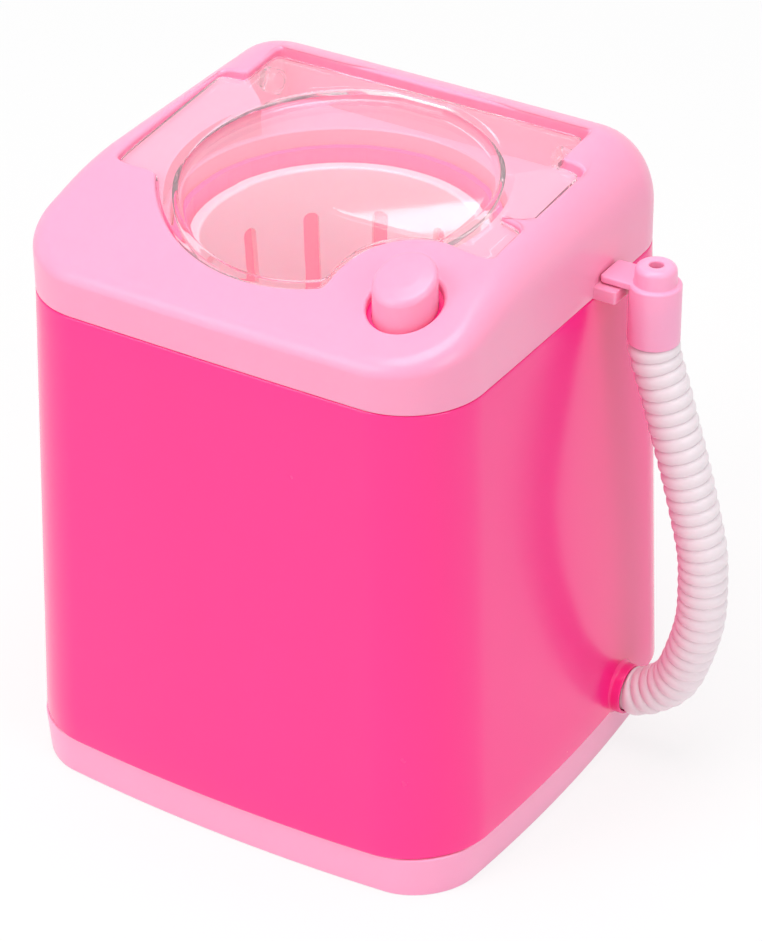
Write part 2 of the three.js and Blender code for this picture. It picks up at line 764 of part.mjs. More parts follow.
// The battery door: a plate with a tongue for its screw
function doorPlates(grow, foot, top) {
  return [
    block(
      [-bayHalf - doorBorder - grow, bayFrontY - doorBorder - grow, foot],
      [bayHalf + doorBorder + grow, bayRearY + doorBorder + grow, top],
    ),
    block(
      [doorScrewAt[0] - tongueHalf - grow, doorScrewAt[1] - tongueHalf - grow, foot],
      [-bayHalf, doorScrewAt[1] + tongueHalf + grow, top],
    ),
  ];
}

function makeDoor() {
  const grips = [-1, 0, 1].map((step) => block(
    [bayHalf - gripInset, (bayFrontY + bayRearY) / 2 + step * gripPitch - gripWidth / 2, -overrun],
    [bayHalf - gripInset / 2, (bayFrontY + bayRearY) / 2 + step * gripPitch + gripWidth / 2, doorThick / 3],
  ));
  return joined(doorPlates(0, 0, doorThick)).subtract(joined([
    ...grips,
    post(counterboreRadius, -overrun, doorSeat, doorScrewAt),
    post(screwBore, 0, ceiling, doorScrewAt, boreSides),
  ]));
}

// A screw pointing up or down: a low round head and a plain shank
function screw(at, seat, length, up = true, headRadius = screwHead, headThick = screwHeadThick) {
  const way = up ? 1 : -1;
  const [headLow, headHigh] = [seat - way * headThick, seat].sort((first, second) => first - second);
  const [shankLow, shankHigh] = [seat - way * headThick / 2, seat + way * length].sort(
    (first, second) => first - second,
  );
  return post(headRadius, headLow, headHigh, at).add(post(screwShank, shankLow, shankHigh, at, boreSides));
}

function canForm(grow, foot, top) {
  return post(motorRadius + grow, foot, top, motorAt, 24).intersect(block(
    [-motorRadius * 2, motorAt[1] - motorFlat - grow, foot], [motorRadius * 2, motorAt[1] + motorFlat + grow, top],
  ));
}

function makeBracket() {
  const low = bracketTop - bracketThick;
  const corners = [-1, 1].flatMap((sideX) => [-1, 1].map((sideY) => [
    sideX * (bracketHalf[0] - bracketCorner), bracketCentreY + sideY * (bracketHalf[1] - bracketCorner),
  ]));
  const plate = joined([
    ...corners.map((at) => post(bracketCorner, low, bracketTop, at)),
    block(
      [-bracketHalf[0] + bracketCorner, bracketCentreY - bracketHalf[1], low],
      [bracketHalf[0] - bracketCorner, bracketCentreY + bracketHalf[1], bracketTop],
    ),
    block(
      [-bracketHalf[0], bracketCentreY - bracketHalf[1] + bracketCorner, low],
      [bracketHalf[0], bracketCentreY + bracketHalf[1] - bracketCorner, bracketTop],
    ),
  ]);
  const cup = canForm(slideGap + cupWall, low - cupDepth, low)
    .subtract(canForm(slideGap, low - cupDepth - overrun, low));
  return joined([
    plate, cup,
    post(hubBossRadius - flangeReach, shaftFoot - seatGap - flangeReach, low, [0, axisY], fineSides),
    ...bracketPosts.map((at) => post(plateLugRadius, low, bracketPostTop, at)),
  ]).subtract(joined([
    post(lowerBushRadius + slideGap, shaftFoot - seatGap, ceiling, [0, axisY], fineSides),
    post(motorShaftRadius * 2, low - overrun, ceiling, motorAt),
    ...[-1, 1].map((side) => post(screwBore, low - overrun, ceiling, [side * motorScrewReach, motorAt[1]], boreSides)),
    ...bracketPosts.map((at) => post(screwBore, low - overrun, ceiling, at, boreSides)),
  ]));
}

function makeTub() {
  const shell = turned([
    [0, tubFloor - tubFloorThick], [tubRadius, tubFloor - tubFloorThick], [tubRadius, tubRim],
    [tubRadius - tubWall, tubRim], [tubRadius - tubWall, tubFloor], [0, tubFloor],
  ], [0, axisY], bowlSides);
  const lugs = tubLugAngles.map((degrees, index) => {
    const at = tubLugs[index];
    const angle = THREE.MathUtils.degToRad(degrees);
    const inward = tubLugReach - tubRadius + tubWall / 2;
    const middle = [at[0] - inward / 2 * Math.cos(angle), at[1] - inward / 2 * Math.sin(angle)];
    return post(bossRound, tubLugTop - tubLugThick, tubLugTop, at)
      .add(turnedBlock(inward, bossRound * 2, tubLugTop - tubLugThick, tubLugTop, middle, angle));
  });
  const clearance = post(tubRadius - tubWall, tubFloor, ceiling, [0, axisY], bowlSides);
  return joined([
    shell,
    joined(lugs).subtract(clearance),
    post(hubBossRadius, hubBossFoot, hubBossTop, [0, axisY], fineSides),
    ...bracketPosts.map((at) => post(plateLugRadius, bracketPostTop, tubFloor - tubFloorThick / 2, at)),
    post(nozzleRadius, nozzleFoot, tubFloor - tubFloorThick / 2, drainNozzleAt, 12),
  ]).subtract(joined([
    post(bushRadius + slideGap, hubBossFoot - overrun, hubBossTop + overrun, [0, axisY], fineSides),
    ...bracketPosts.map((at) => post(screwBore, bracketPostTop - overrun, tubFloor - tubWall / 2, at, boreSides)),
    ...tubLugs.map((at) => post(screwBore, tubLugTop - tubLugThick - overrun, tubLugTop + overrun, at, boreSides)),
    post(nozzleBore, nozzleFoot - overrun, tubFloor + overrun, drainNozzleAt, 12),
  ]));
}

function makeBasket() {
  const shell = turned([
    [0, basketFloor], [basketFootRadius - basketWall, basketFloor], [basketFootRadius, basketFloor + basketWall],
    [basketTopRadius, basketRim - basketWall * 2], [basketRimRadius, basketRim - basketWall],
    [basketRimRadius, basketRim], [basketTopRadius - basketWall, basketRim],
    [basketTopRadius - basketWall, basketRim - basketWall * 2],
    [basketFootRadius - basketWall, basketFloor + basketFloorThick],
    [hubRadius, basketFloor + basketFloorThick], [hubRadius, hubTop], [0, hubTop],
  ], [0, axisY], bowlSides);
  const slots = Array.from({ length: slotCount }, (unused, index) => {
    const angle = (index + 0.5) / slotCount * Math.PI * 2;
    const middle = (basketFootRadius + basketTopRadius) / 2;
    const at = [middle * Math.cos(angle), axisY + middle * Math.sin(angle)];
    return turnedBlock(basketWall * 6, slotWidth, slotFoot, slotHead, at, angle);
  });
  const drains = Array.from({ length: slotCount / 2 }, (unused, index) => {
    const angle = index / slotCount * Math.PI * 4;
    const at = [basketDrainReach * Math.cos(angle), axisY + basketDrainReach * Math.sin(angle)];
    return post(basketDrainRadius, basketFloor - overrun, basketFloor + basketFloorThick + overrun, at, 8);
  });
  return shell.subtract(joined([
    ...slots, ...drains,
    post(shaftRadius + slideGap, basketFloor - overrun, shaftTop + seatGap, [0, axisY], fineSides),
    post(screwBore, shaftTop, ceiling, [0, axisY], boreSides),
  ]));
}

// The low cone with three fins that stirs the washing
function makePulsator() {
  const foot = basketFloor + basketFloorThick;
  const skin = turned([
    [hubRadius + seatGap, foot], [pulsatorRadius, foot], [pulsatorRadius, foot + basketWall],
    [pulsatorRadius * 0.6, foot + pulsatorHeight * 0.25], [hubRadius + basketWall, foot + pulsatorHeight * 0.6],
    [hubRadius, foot + pulsatorHeight * 0.9], [hubRadius / 2, foot + pulsatorHeight],
    [0, foot + pulsatorHeight], [0, hubTop + screwHeadThick + seatGap],
    [screwHead + seatGap, hubTop + screwHeadThick + seatGap], [screwHead + seatGap, hubTop + seatGap],
    [hubRadius + seatGap, hubTop + seatGap], [hubRadius + seatGap, foot],
  ], [0, axisY], bowlSides / 2);
  const fins = [0, 1, 2].map((index) => {
    const angle = index / 3 * Math.PI * 2;
    const reach = (hubRadius + pulsatorRadius) / 2;
    const at = [reach * Math.cos(angle), axisY + reach * Math.sin(angle)];
    const length = pulsatorRadius - hubRadius - seatGap * 3;
    return turnedBlock(length, basketWall, foot, foot + pulsatorHeight * 0.45, at, angle);
  });
  return joined([skin, ...fins]);
}

// Straight-flanked teeth on a disc, a little slimmer than half the pitch to leave backlash
function toothedForm(teeth, foot, top, at, turn) {
  const pitchRadius = teeth * gearModule / 2;
  const stations = [
    [pitchRadius - gearModule * 1.2, -0.25], [pitchRadius + gearModule * 0.9, -0.1],
    [pitchRadius + gearModule * 0.9, 0.1], [pitchRadius - gearModule * 1.2, 0.25],
  ];
  const points = Array.from({ length: teeth }, (unused, tooth) => stations.map(([radius, share]) => {
    const angle = (tooth + share) / teeth * Math.PI * 2 + turn;
    return new THREE.Vector2(radius * Math.cos(angle), radius * Math.sin(angle));
  })).flat();
  const geometry = new THREE.ExtrudeGeometry(new THREE.Shape(points), { depth: top - foot, bevelEnabled: false });
  geometry.translate(at[0], at[1], foot);
  return solidOf(geometry);
}

function makeGear() {
  return toothedForm(gearTeeth, gearFoot, gearFoot + gearThick, [0, axisY], 0)
    .add(post(bushRadius, gearHub[0], gearHub[1], [0, axisY], 20))
    .subtract(post(shaftRadius + slideGap, cellarZ - ceiling, ceiling, [0, axisY], fineSides));
}

function makePinion() {
  return toothedForm(pinionTeeth, pinionFoot, pinionFoot + pinionThick, motorAt, Math.PI / pinionTeeth)
    .subtract(post(motorShaftRadius + slideGap, 0, ceiling, motorAt, fineSides));
}

function bush(radius, foot, top, flange, bore = shaftRadius + slideGap) {
  const [flangeLow, flangeHigh] = flange;
  return post(radius, foot, top, [0, axisY], fineSides)
    .add(post(radius + flangeReach, flangeLow, flangeHigh, [0, axisY], fineSides))
    .subtract(post(bore, flangeLow - ceiling, flangeHigh + ceiling, [0, axisY], fineSides));
}

function makeButton() {
  const slanted = (radius, drop) => Array.from({ length: 24 }, (unused, step) => {
    const angle = step / 24 * Math.PI * 2;
    const y = radius * Math.sin(angle);
    return [buttonAt[0] + radius * Math.cos(angle), buttonAt[1] + y, buttonTop - drop + buttonSlope * y];
  });
  const level = (radius, height) => slanted(radius, 0).map(([x, y]) => [x, y, height]);
  const knob = loft([
    level(buttonRadius, guideFoot - flangeThick), slanted(buttonRadius, edgeRound),
    slanted(buttonRadius - edgeRound * 0.3, edgeRound * 0.3), slanted(buttonRadius - edgeRound, 0),
  ]);
  return knob
    .add(post(buttonHoleRadius + guideWall, flangeFoot, flangeFoot + flangeThick, buttonAt, 24))
    .add(post(stemRadius, stemFoot, flangeFoot + flangeThick / 2, buttonAt, fineSides));
}

function makeSwitchPlate() {
  const foot = plateTop - plateThick;
  const cheekReach = switchSize[1] / 2 + slideGap * 2 + cheekThick / 2;
  const cheeks = [-1, 1].flatMap((side) => [
    turnedBlock(
      switchSize[0] / 2, cheekThick, switchFoot - cheekThick, foot + overrun / 2, buttonAt, plateAngle,
      side * cheekReach,
    ),
    turnedBlock(
      switchSize[0] / 4, cheekThick * 2, switchFoot - cheekThick, switchFoot - seatGap / 3, buttonAt, plateAngle,
      side * (cheekReach - cheekThick / 2),
    ),
  ]);
  return joined([
    turnedBlock(plateScrewReach * 2, plateLugRadius * 2, foot, plateTop, buttonAt, plateAngle),
    post(springRadius + plateLugRadius / 2, foot, plateTop, buttonAt, 24),
    ...plateLugs.map((at) => post(plateLugRadius, foot, plateTop, at)),
    ...cheeks,
  ]).subtract(joined([
    post(stemRadius + slideGap + slideGap / 3, foot - overrun, plateTop + overrun, buttonAt, fineSides),
    ...plateLugs.map((at) => post(screwBore, foot - overrun, plateTop + overrun, at, boreSides)),
  ]));
}

function terminalPlate(at, top, angle) {
  return turnedBlock(terminalSize[0], terminalSize[1], top - terminalSize[2], top, at, angle);
}

function numbered(name, solids, finish) {
  return solids.map((solid, index) => [`${name}_${index + 1}`, solid, finish]);
}

// Tube of a given section along a curve
function sweep(curve, radius, sides, steps, bore = 0) {
  const section = new THREE.Shape(circlePoints(radius, sides));
  if (bore > 0) section.holes.push(new THREE.Path(circlePoints(bore, sides)));
  return solidOf(new THREE.ExtrudeGeometry(section, { extrudePath: curve, steps, bevelEnabled: false }));
}

function circlePoints(radius, sides) {
  return Array.from({ length: sides }, (unused, step) => {
    const angle = (step + 0.5) / sides * Math.PI * 2;
    return new THREE.Vector2(radius * Math.cos(angle), radius * Math.sin(angle));
  });
}

function smoothRoute(route) {
  return new THREE.CatmullRomCurve3(route.map((spot) => new THREE.Vector3(...spot)), false, 'centripetal');
}

// A coil spring as one unbroken tube; prints the least gap between its turns
function coil(name, spotAt, turns, radius, wire, length) {
  const steps = turns * 8;
  const sides = 5;
  const pitch = length / turns;
  console.log(`${name}: least gap between turns ${(pitch - wire * 2).toFixed(2)} mm`);
  const rings = Array.from({ length: steps + 1 }, (unused, step) => {
    const angle = step / 8 * Math.PI * 2;
    const along = step / steps * length;
    return Array.from({ length: sides }, (also, side) => {
      const turn = -side / sides * Math.PI * 2;
      const reach = radius + wire * Math.cos(turn);
      return spotAt(reach * Math.cos(angle), reach * Math.sin(angle), along + wire * Math.sin(turn));
    });
  });
  return loft(rings);
}

// Ribbed hose: two rings to a rib, a plain cuff at each end, and a bore through it
function makeHose() {
  const curve = smoothRoute(hoseRoute);
  const length = curve.getLength();
  const sides = 8;
  const cuffEnd = portReach + seatGap - hoseRoute[0][0];
  const capStart = length - (hoseTop - capFoot + seatGap);
  const ribCount = Math.floor((capStart - cuffEnd) / ribPitch);
  const pitch = (capStart - cuffEnd) / ribCount;
  const outer = [[0, cuffRadius], [cuffEnd, cuffRadius]];
  for (let rib = 0; rib < ribCount; rib += 1) {
    outer.push([cuffEnd + (rib + 0.3) * pitch, hoseRadius]);
    outer.push([cuffEnd + (rib + 0.7) * pitch, hoseRadius]);
    if (rib < ribCount - 1) outer.push([cuffEnd + (rib + 1) * pitch, hoseRadius - ribDepth]);
  }
  outer.push([capStart, cuffRadius], [length, cuffRadius]);
  const inner = [[0, hoseBore]];
  for (let rib = 0; rib < ribCount; rib += 5) {
    inner.push([cuffEnd + rib * pitch, hoseBore]);
  }
  inner.push([capStart, hoseBore], [length, hoseBore]);
  inner.reverse();
  console.log(`drain_hose: ${ribCount} ribs, ${length.toFixed(1)} mm long`);
  return tubeOfStations(curve, length, [...outer, ...inner], sides);
}

// A closed skin through rings that run up the outside and back down the bore
function tubeOfStations(curve, length, stations, sides) {
  const side = new THREE.Vector3(0, 1, 0);
  const rings = stations.map(([along, radius]) => {
    const share = THREE.MathUtils.clamp(along / length, 0, 1);
    const centre = curve.getPointAt(share);
    const ahead = curve.getTangentAt(share);
    const across = new THREE.Vector3().crossVectors(side, ahead).normalize();
    const beside = new THREE.Vector3().crossVectors(ahead, across);
    return Array.from({ length: sides }, (unused, step) => {
      const angle = step / sides * Math.PI * 2;
      return centre.clone()
        .addScaledVector(across, radius * Math.cos(angle))
        .addScaledVector(beside, radius * Math.sin(angle));
    });
  });
  const positions = rings.flat().flatMap((point) => point.toArray());
  const faces = [];
  rings.forEach((unused, level) => {
    for (let step = 0; step < sides; step += 1) {
      const here = level * sides + step;
      const beside = level * sides + (step + 1) % sides;
      const above = ((level + 1) % rings.length) * sides + step;
      const across = ((level + 1) % rings.length) * sides + (step + 1) % sides;
      faces.push(here, beside, across, here, across, above);
    }
  });
  const geometry = new THREE.BufferGeometry();
  geometry.setAttribute('position', new THREE.Float32BufferAttribute(positions, 3));
  geometry.setIndex(faces);
  return solidOf(geometry);
}

function makeCap() {
  const tabFoot = capTop - tabThick;
  return joined([
    post(capRadius, capFoot, capTop, capAt, fineSides),
    block([tabStartX, tabY[0], tabFoot], [capAt[0], tabY[1], capTop]),
    post(pegRadius, pegFoot, tabFoot + tabThick / 2, pegAt, 12),
    turned([
      [0, capTop - tabThick / 2], [capNozzleRadius, capTop - tabThick / 2],
      [capNozzleRadius, capTop + tabThick], [capNozzleRadius - ribDepth, capNozzleTop - ribDepth * 2],
      [capNozzleRadius - ribDepth * 2.5, capNozzleTop], [0, capNozzleTop],
    ], capAt, 24),
  ]).subtract(joined([
    post(cuffRadius + seatGap, capFoot - overrun, hoseTop + seatGap, capAt, fineSides),
    post(capHoleRadius, capFoot, ceiling, capAt, 16),
  ]));
}

function makeCell(y, wayX) {
  const profile = [
    [0, 0], [cellRadius - 0.5, 0], [cellRadius, 0.5], [cellRadius, cellLength - 0.5], [cellRadius - 0.5, cellLength],
    [nubRadius, cellLength], [nubRadius, cellLength + nubLength], [0, cellLength + nubLength],
  ];
  const geometry = new THREE.LatheGeometry(profile.map(([radius, along]) => new THREE.Vector2(radius, along)), roundSides + 6);
  geometry.rotateZ(-wayX * Math.PI / 2);
  const tip = wayX * (bayHalf - contactThick - slideGap);
  geometry.translate(tip - wayX * (cellLength + nubLength), y, cellHeight);
  return solidOf(geometry);
}

const housing = [
  ['base_pan', makeBase(), 'pale_pink'],
  ['battery_door', makeDoor(), 'pale_pink'],
  ['battery_door_screw', screw(doorScrewAt, doorSeat, doorPostTop / 2, true, screwHead, screwHeadThick / 2), 'steel'],
  ...numbered('base_screw', basePosts.map((at) => screw(at, screwSeat, baseHeight + overrun)), 'steel'),
  ['body_shell', makeBody(), 'hot_pink'],
  ['top_cover', makeCover(), 'pale_pink'],
  ...numbered('cover_screw', coverLugs.map((at) => screw(at, lugFoot, lugScrewLength)), 'steel'),
  ['tub', makeTub(), 'hot_pink'],
  ...numbered('tub_screw', tubLugs.map((at) => screw(at, tubLugTop - tubLugThick, lugScrewLength)), 'steel'),
  ['shaft_bush', bush(bushRadius, hubBossFoot, hubBossFoot + bushLength, [gearHub[1] + seatGap, hubBossFoot]), 'brass'],
  ['shaft_seal', post(bushRadius, hubBossFoot + bushLength, hubBossTop, [0, axisY], fineSides).subtract(
    post(shaftRadius + slideGap * 2, 0, ceiling, [0, axisY], fineSides)), 'rubber'],
  ['lower_bush', bush(
    lowerBushRadius, shaftFoot - seatGap, bracketTop, [bracketTop, gearHub[0] - seatGap]), 'brass'],
  ['gear_bracket', makeBracket(), 'white_plastic'],
  ...numbered('bracket_screw', bracketPosts.map(
    (at) => screw(at, bracketTop - bracketThick, bracketScrewLength)), 'steel'),
  ['motor_can', canForm(0, motorFoot, bracketTop - bracketThick).subtract(joined([
    post(motorShaftRadius + slideGap, motorFoot - overrun, bracketTop, motorAt, fineSides),
    ...[-1, 1].map((side) => post(screwBore, bracketTop - 8, bracketTop, [side * motorScrewReach, motorAt[1]], boreSides)),
  ])), 'steel'],
  ['motor_end_cap', canForm(-seatGap, motorFoot - endCapThick, motorFoot).subtract(
    post(motorShaftRadius + slideGap, motorFoot - endCapThick / 2, motorFoot + overrun, motorAt, fineSides),
  ), 'white_plastic'],
  ...numbered('motor_terminal', [-1, 1].map((side) => terminalPlate(
    [side * terminalReach, motorAt[1]], motorFoot - endCapThick, 0)), 'brass'),
  ...numbered('motor_screw', [-1, 1].map((side) => screw(
    [side * motorScrewReach, motorAt[1]], bracketTop, motorScrewLength, false, motorScrewHead,
    motorScrewHead / 2)), 'steel'),
  ['switch_plate', makeSwitchPlate(), 'white_plastic'],
  ...numbered('switch_plate_screw', plateLugs.map(
    (at) => screw(at, plateTop - plateThick, lugScrewLength - overrun)), 'steel'),
  ['switch_body', turnedBlock(switchSize[0], switchSize[1], switchFoot, switchTop, buttonAt, plateAngle).subtract(
    post(plungerRadius + slideGap, plungerFoot - buttonTravel - seatGap, ceiling, buttonAt, fineSides),
  ), 'rubber'],
  ...numbered('switch_terminal', [-1, 1].map((side) => terminalPlate([
    buttonAt[0] + side * switchTerminalReach * Math.cos(plateAngle),
    buttonAt[1] + side * switchTerminalReach * Math.sin(plateAngle),
  ], switchFoot, plateAngle)), 'brass'),
  ['battery_front', makeCell(cellRows[0], -1), 'cell_blue'],
  ['battery_rear', makeCell(cellRows[1], 1), 'cell_blue'],
  ['battery_bridge_contact', block(
    [bayHalf - contactThick, cellRows[0] - contactReach, contactFoot],
    [bayHalf, cellRows[1] + contactReach, contactTop],
  ), 'steel'],
  ...[['battery_positive_contact', cellRows[0]], ['battery_negative_contact', cellRows[1]]].map(([name, y]) => [
    name,
    block([-bayHalf, y - contactReach, contactFoot], [-bayHalf + contactThick, y + contactReach, contactTop])
      .add(block(
        [-bayHalf, y - contactTabWidth / 2, contactFoot], [-bayHalf + contactThick, y + contactTabWidth / 2, contactTabTop],
      )),
    'steel',
  ]),
  ...[['battery_spring_front', cellRows[0], 1], ['battery_spring_rear', cellRows[1], -1]].map(([name, y, way]) => {
    const seat = way * (bayHalf - contactThick);
    const room = bayHalf * 2 - contactThick * 2 - cellLength - nubLength - slideGap;
    const margin = batterySpringWire + seatGap / 2;
    return [name, coil(
      name,
      (first, second, along) => [seat - way * (margin + along), y - way * first, cellHeight + second],
      springTurns, batterySpringRadius, batterySpringWire, room - margin * 2,
    ), 'steel'];
  }),
  ['drain_pipe', sweep(smoothRoute(pipeRoute), pipeRadius, 8, 14, pipeBore), 'white_plastic'],
  ...Object.entries(wireRoutes).map(([name, route]) => [
    name, sweep(smoothRoute(route), wireRadius, 6, route.length * 2), 'wire_red',
  ]),
];

const moving = [
  ['lid', makeLid(), 'clear'],
  ['basket', makeBasket(), 'basket_white'],
  ['pulsator', makePulsator(), 'pale_pink'],
  ['basket_screw', screw([0, axisY], hubTop, hubTop - shaftTop + 4, false), 'steel'],
  ['drive_shaft', post(shaftRadius, shaftFoot, shaftTop, [0, axisY], fineSides).subtract(
    post(screwBore, shaftTop - 5, ceiling, [0, axisY], boreSides)), 'steel'],
  ['basket_gear', makeGear(), 'white_plastic'],
  ['motor_shaft', post(motorShaftRadius, motorFoot - overrun, pinionFoot + pinionThick, motorAt, fineSides), 'steel'],
  ['motor_pinion', makePinion(), 'brass'],
  ['control_button', makeButton(), 'pale_pink'],
  ['button_spring', coil(
    'button_spring',
    (first, second, along) => [buttonAt[0] + first, buttonAt[1] + second, plateTop + springMargin + along],
    springTurns, springRadius, springWire, flangeFoot - plateTop - springMargin * 2,
  ), 'steel'],
  ['switch_plunger', post(plungerRadius, plungerFoot, stemFoot, buttonAt, fineSides), 'white_plastic'],
  ['drain_hose', makeHose(), 'hose_white'],
  ['hose_end_cap', makeCap(), 'pale_pink'],
];

for (const [name, solid, finish] of [...housing, ...moving]) {
  addPiece(name, solid, finish);
}

export default model;
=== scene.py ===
"""Toy top-loading washing machine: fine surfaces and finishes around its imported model. Metres, +Z up, front at -Y."""
import json
import math

import bmesh
import bpy
import numpy as np
from bpy.props import FloatProperty, FloatVectorProperty, IntProperty, PointerProperty
from mathutils import Matrix, Vector


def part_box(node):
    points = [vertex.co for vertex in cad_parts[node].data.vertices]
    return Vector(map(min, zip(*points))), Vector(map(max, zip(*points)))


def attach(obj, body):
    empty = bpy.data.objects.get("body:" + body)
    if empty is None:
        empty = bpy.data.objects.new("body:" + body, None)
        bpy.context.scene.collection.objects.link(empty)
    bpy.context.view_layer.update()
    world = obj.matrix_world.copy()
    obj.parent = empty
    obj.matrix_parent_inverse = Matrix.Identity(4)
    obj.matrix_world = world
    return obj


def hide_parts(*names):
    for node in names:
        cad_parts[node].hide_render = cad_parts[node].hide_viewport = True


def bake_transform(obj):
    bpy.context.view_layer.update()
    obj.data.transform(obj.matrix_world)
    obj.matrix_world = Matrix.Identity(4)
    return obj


bl_info = {
    "name": "Toy washing machine",
    "version": (1, 0, 0),
    "blender": (4, 5, 0),
    "location": "View3D > Sidebar > Washer",
    "description": "Builds the case, the cover, the clear lid, the basket and the ribbed hose of a toy washing machine",
    "category": "Object",
}

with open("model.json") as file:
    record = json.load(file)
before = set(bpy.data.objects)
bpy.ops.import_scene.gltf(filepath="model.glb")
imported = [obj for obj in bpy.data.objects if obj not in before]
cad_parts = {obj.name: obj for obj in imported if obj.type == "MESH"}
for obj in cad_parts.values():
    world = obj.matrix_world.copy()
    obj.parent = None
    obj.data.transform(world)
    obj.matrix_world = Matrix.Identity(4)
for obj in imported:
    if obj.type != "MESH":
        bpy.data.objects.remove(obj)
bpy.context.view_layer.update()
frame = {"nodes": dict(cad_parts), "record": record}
MM = 0.001
FULL_TURN = 2 * math.pi
FAR = 1.0
SAME_SPOT = 1e-7

# Outline of the case: half width, half depth and outward bow of the sides, then corner radii at front and rear
FOOT_HALF = np.array([51.4, 48.8, 3.0]) * MM
BASE_TOP_HALF = np.array([51.9, 49.2, 3.0]) * MM
BODY_FOOT_HALF = np.array([52.75, 50.0, 3.0]) * MM
BODY_TOP_HALF = np.array([48.3, 45.5, 0.4]) * MM
BASE_CORNERS = np.array([12.0, 12.0]) * MM
BODY_FOOT_CORNERS = np.array([16.0, 13.0]) * MM
BODY_TOP_CORNERS = np.array([16.0, 13.5]) * MM
BODY_WALL = 2.0 * MM
BASE_WALL = 2.4 * MM
BASE_FLOOR = 2.0 * MM
CASE_EDGES = np.array([0.8, 0.45]) * MM
BASE_EDGES = np.array([0.3, 0.35]) * MM
COVER_EDGE = 0.45 * MM
AROUND = 960

# Top of the cover, seen along Y
BACK_SLOPE = 0.084
FRONT_SLOPE = 0.34
LEVEL_START = 33 * MM
BEND_START = -10 * MM
BEND_END = -24 * MM
ROUND_INSET = np.array([3.0, 13.0]) * MM
ROUND_DROP = np.array([2.2, 16.0]) * MM

# Recess of the lid, its ledge, the well behind it and the mouth of the basket
AXIS = np.array([0.0, -1.5]) * MM
ARC_CENTRE = np.array([0.0, 1.0]) * MM
ARC_RADIUS = 36 * MM
RECESS_HALF = 41 * MM
RECESS_FRONT = -16.8 * MM
BLOCK_FRONT = 20.5 * MM
WELL_HALF = 35.4 * MM
WELL_REAR = 32.5 * MM
WELL_RADIUS = 33.2 * MM
MOUTH_RADIUS = 32 * MM
LEDGE_DROP = 2.6 * MM
DECK_DROP = 11 * MM
COVER_WALL = 1.8 * MM
SKIRT_WALL = 2.0 * MM
MOUTH_STEP = 0.6 * MM
MOUTH_LIP = 1.0 * MM
LIP_FOOT = 115.9 * MM
LIP_DROP = 1.3 * MM
LIP_LOW_FROM = 31.75 * MM

# Button, lid and hinge
BUTTON = np.array([31.9, -29.6]) * MM
BOSS_RADIUS = 16.3 * MM
HOLE_RADIUS = 7.05 * MM
BUTTON_SLOPE = 0.42
BUTTON_DROP = 3.2 * MM
FLARE = 0.7 * MM
HOLE_FOOT = 97.0 * MM
RING_DEPTHS = np.array([2.6, 1.6]) * MM
STEM_RADIUS = 3 * MM
FLANGE_RADIUS = 8.35 * MM
FLANGE = np.array([110.94, 112.94]) * MM
SPRING_RADIUS = 5 * MM
SPRING_TURNS = 4
LID_DROP = 0.8 * MM
LID_THICK = 1.5 * MM
DISH_DEPTH = 2.0 * MM
DISH_THICK = 1.3 * MM
DISH_WALL = 1.1 * MM
DISH_CURVES = np.array([1.2, 1.0]) * MM
CREST = 0.9 * MM
SIDE_GAP = 0.3 * MM
FRONT_GAP = 0.5 * MM
WING_REAR = 18.9 * MM
LID_REAR = 30.5 * MM
HINGE = np.array([26.0, 125.0]) * MM
KNUCKLE_RADIUS = 2.5 * MM
KNUCKLE_WIDTH = 3.6 * MM
PIN_RADIUS = 1.5 * MM
PIN_HOLE_RADIUS = 1.58 * MM
PIN_END = 37 * MM

# Basket and its stirring cone: (radius, height) of the profile's corners
BASKET_FOOT = 55 * MM
BASKET_FLOOR = 56.8 * MM
BASKET_OUTSIDE = np.array([[25.4, 55], [28, 110.4], [29.2, 111.6], [29.2, 113]]) * MM
BASKET_INSIDE = np.array([[26.75, 113], [24.1, 56.8]]) * MM
SLOT_HALF = 1.6 * MM
SLOT_SPAN = np.array([64, 104]) * MM
CONE_REACH = 14 * MM
CONE_RISE = 14 * MM
CONE_RIM = 1.3 * MM
FINS = 3

# Port, hose and its cap
PORT = np.array([54.5, 20.0, 13.2]) * MM
PORT_RADIUS = 5.2 * MM
PORT_BORE = 4.6 * MM
COLLAR_FOOT = 51.4 * MM
CUFF_DROP = 0.7 * MM
RIB_DEPTH = 0.62 * MM
HOSE_WALL = 1.6 * MM
HOSE_IN_CAP = 8.3 * MM
CAP = np.array([58.8, 16.0]) * MM
CAP_RADIUS = 5.05 * MM
CAP_BORE = 4.6 * MM
CAP_FOOT = 99 * MM
CAP_TOP = 111.4 * MM
CROWN_TOP = 115.2 * MM
CROWN_RADII = np.array([4.15, 3.95]) * MM
CROWN_HOLE = 1.35 * MM
TAB_LOW = np.array([48.5, 12.7, 110.0]) * MM
TAB_HIGH = np.array([56.6, 20.3, 111.4]) * MM
PEG = np.array([50.9, 15.0]) * MM
PEG_RADIUS = 1.4 * MM
PEG_FOOT = 107.6 * MM
CLIP_LOW = np.array([45.6, 11, 107]) * MM
CLIP_HIGH = np.array([53, 19, 109.7]) * MM
CLIP_BORE = 1.7 * MM
HOSE_ROUTE = np.array([
    [47, 20, 13.2], [52, 20, 13.2], [56.2, 20, 13.5], [60.1, 20, 15.7], [64.5, 19.8, 20], [67.7, 19.5, 28],
    [69.9, 19, 37], [70.3, 18.6, 45.3], [70, 18.2, 53.3], [68.5, 17.8, 61], [66.9, 17.4, 68.2],
    [65.1, 17, 75.3], [63.1, 16.7, 82.4], [61.2, 16.4, 89.4], [59.4, 16.1, 95.5], [58.8, 16, 100],
    [58.8, 16, 107],
]) * MM

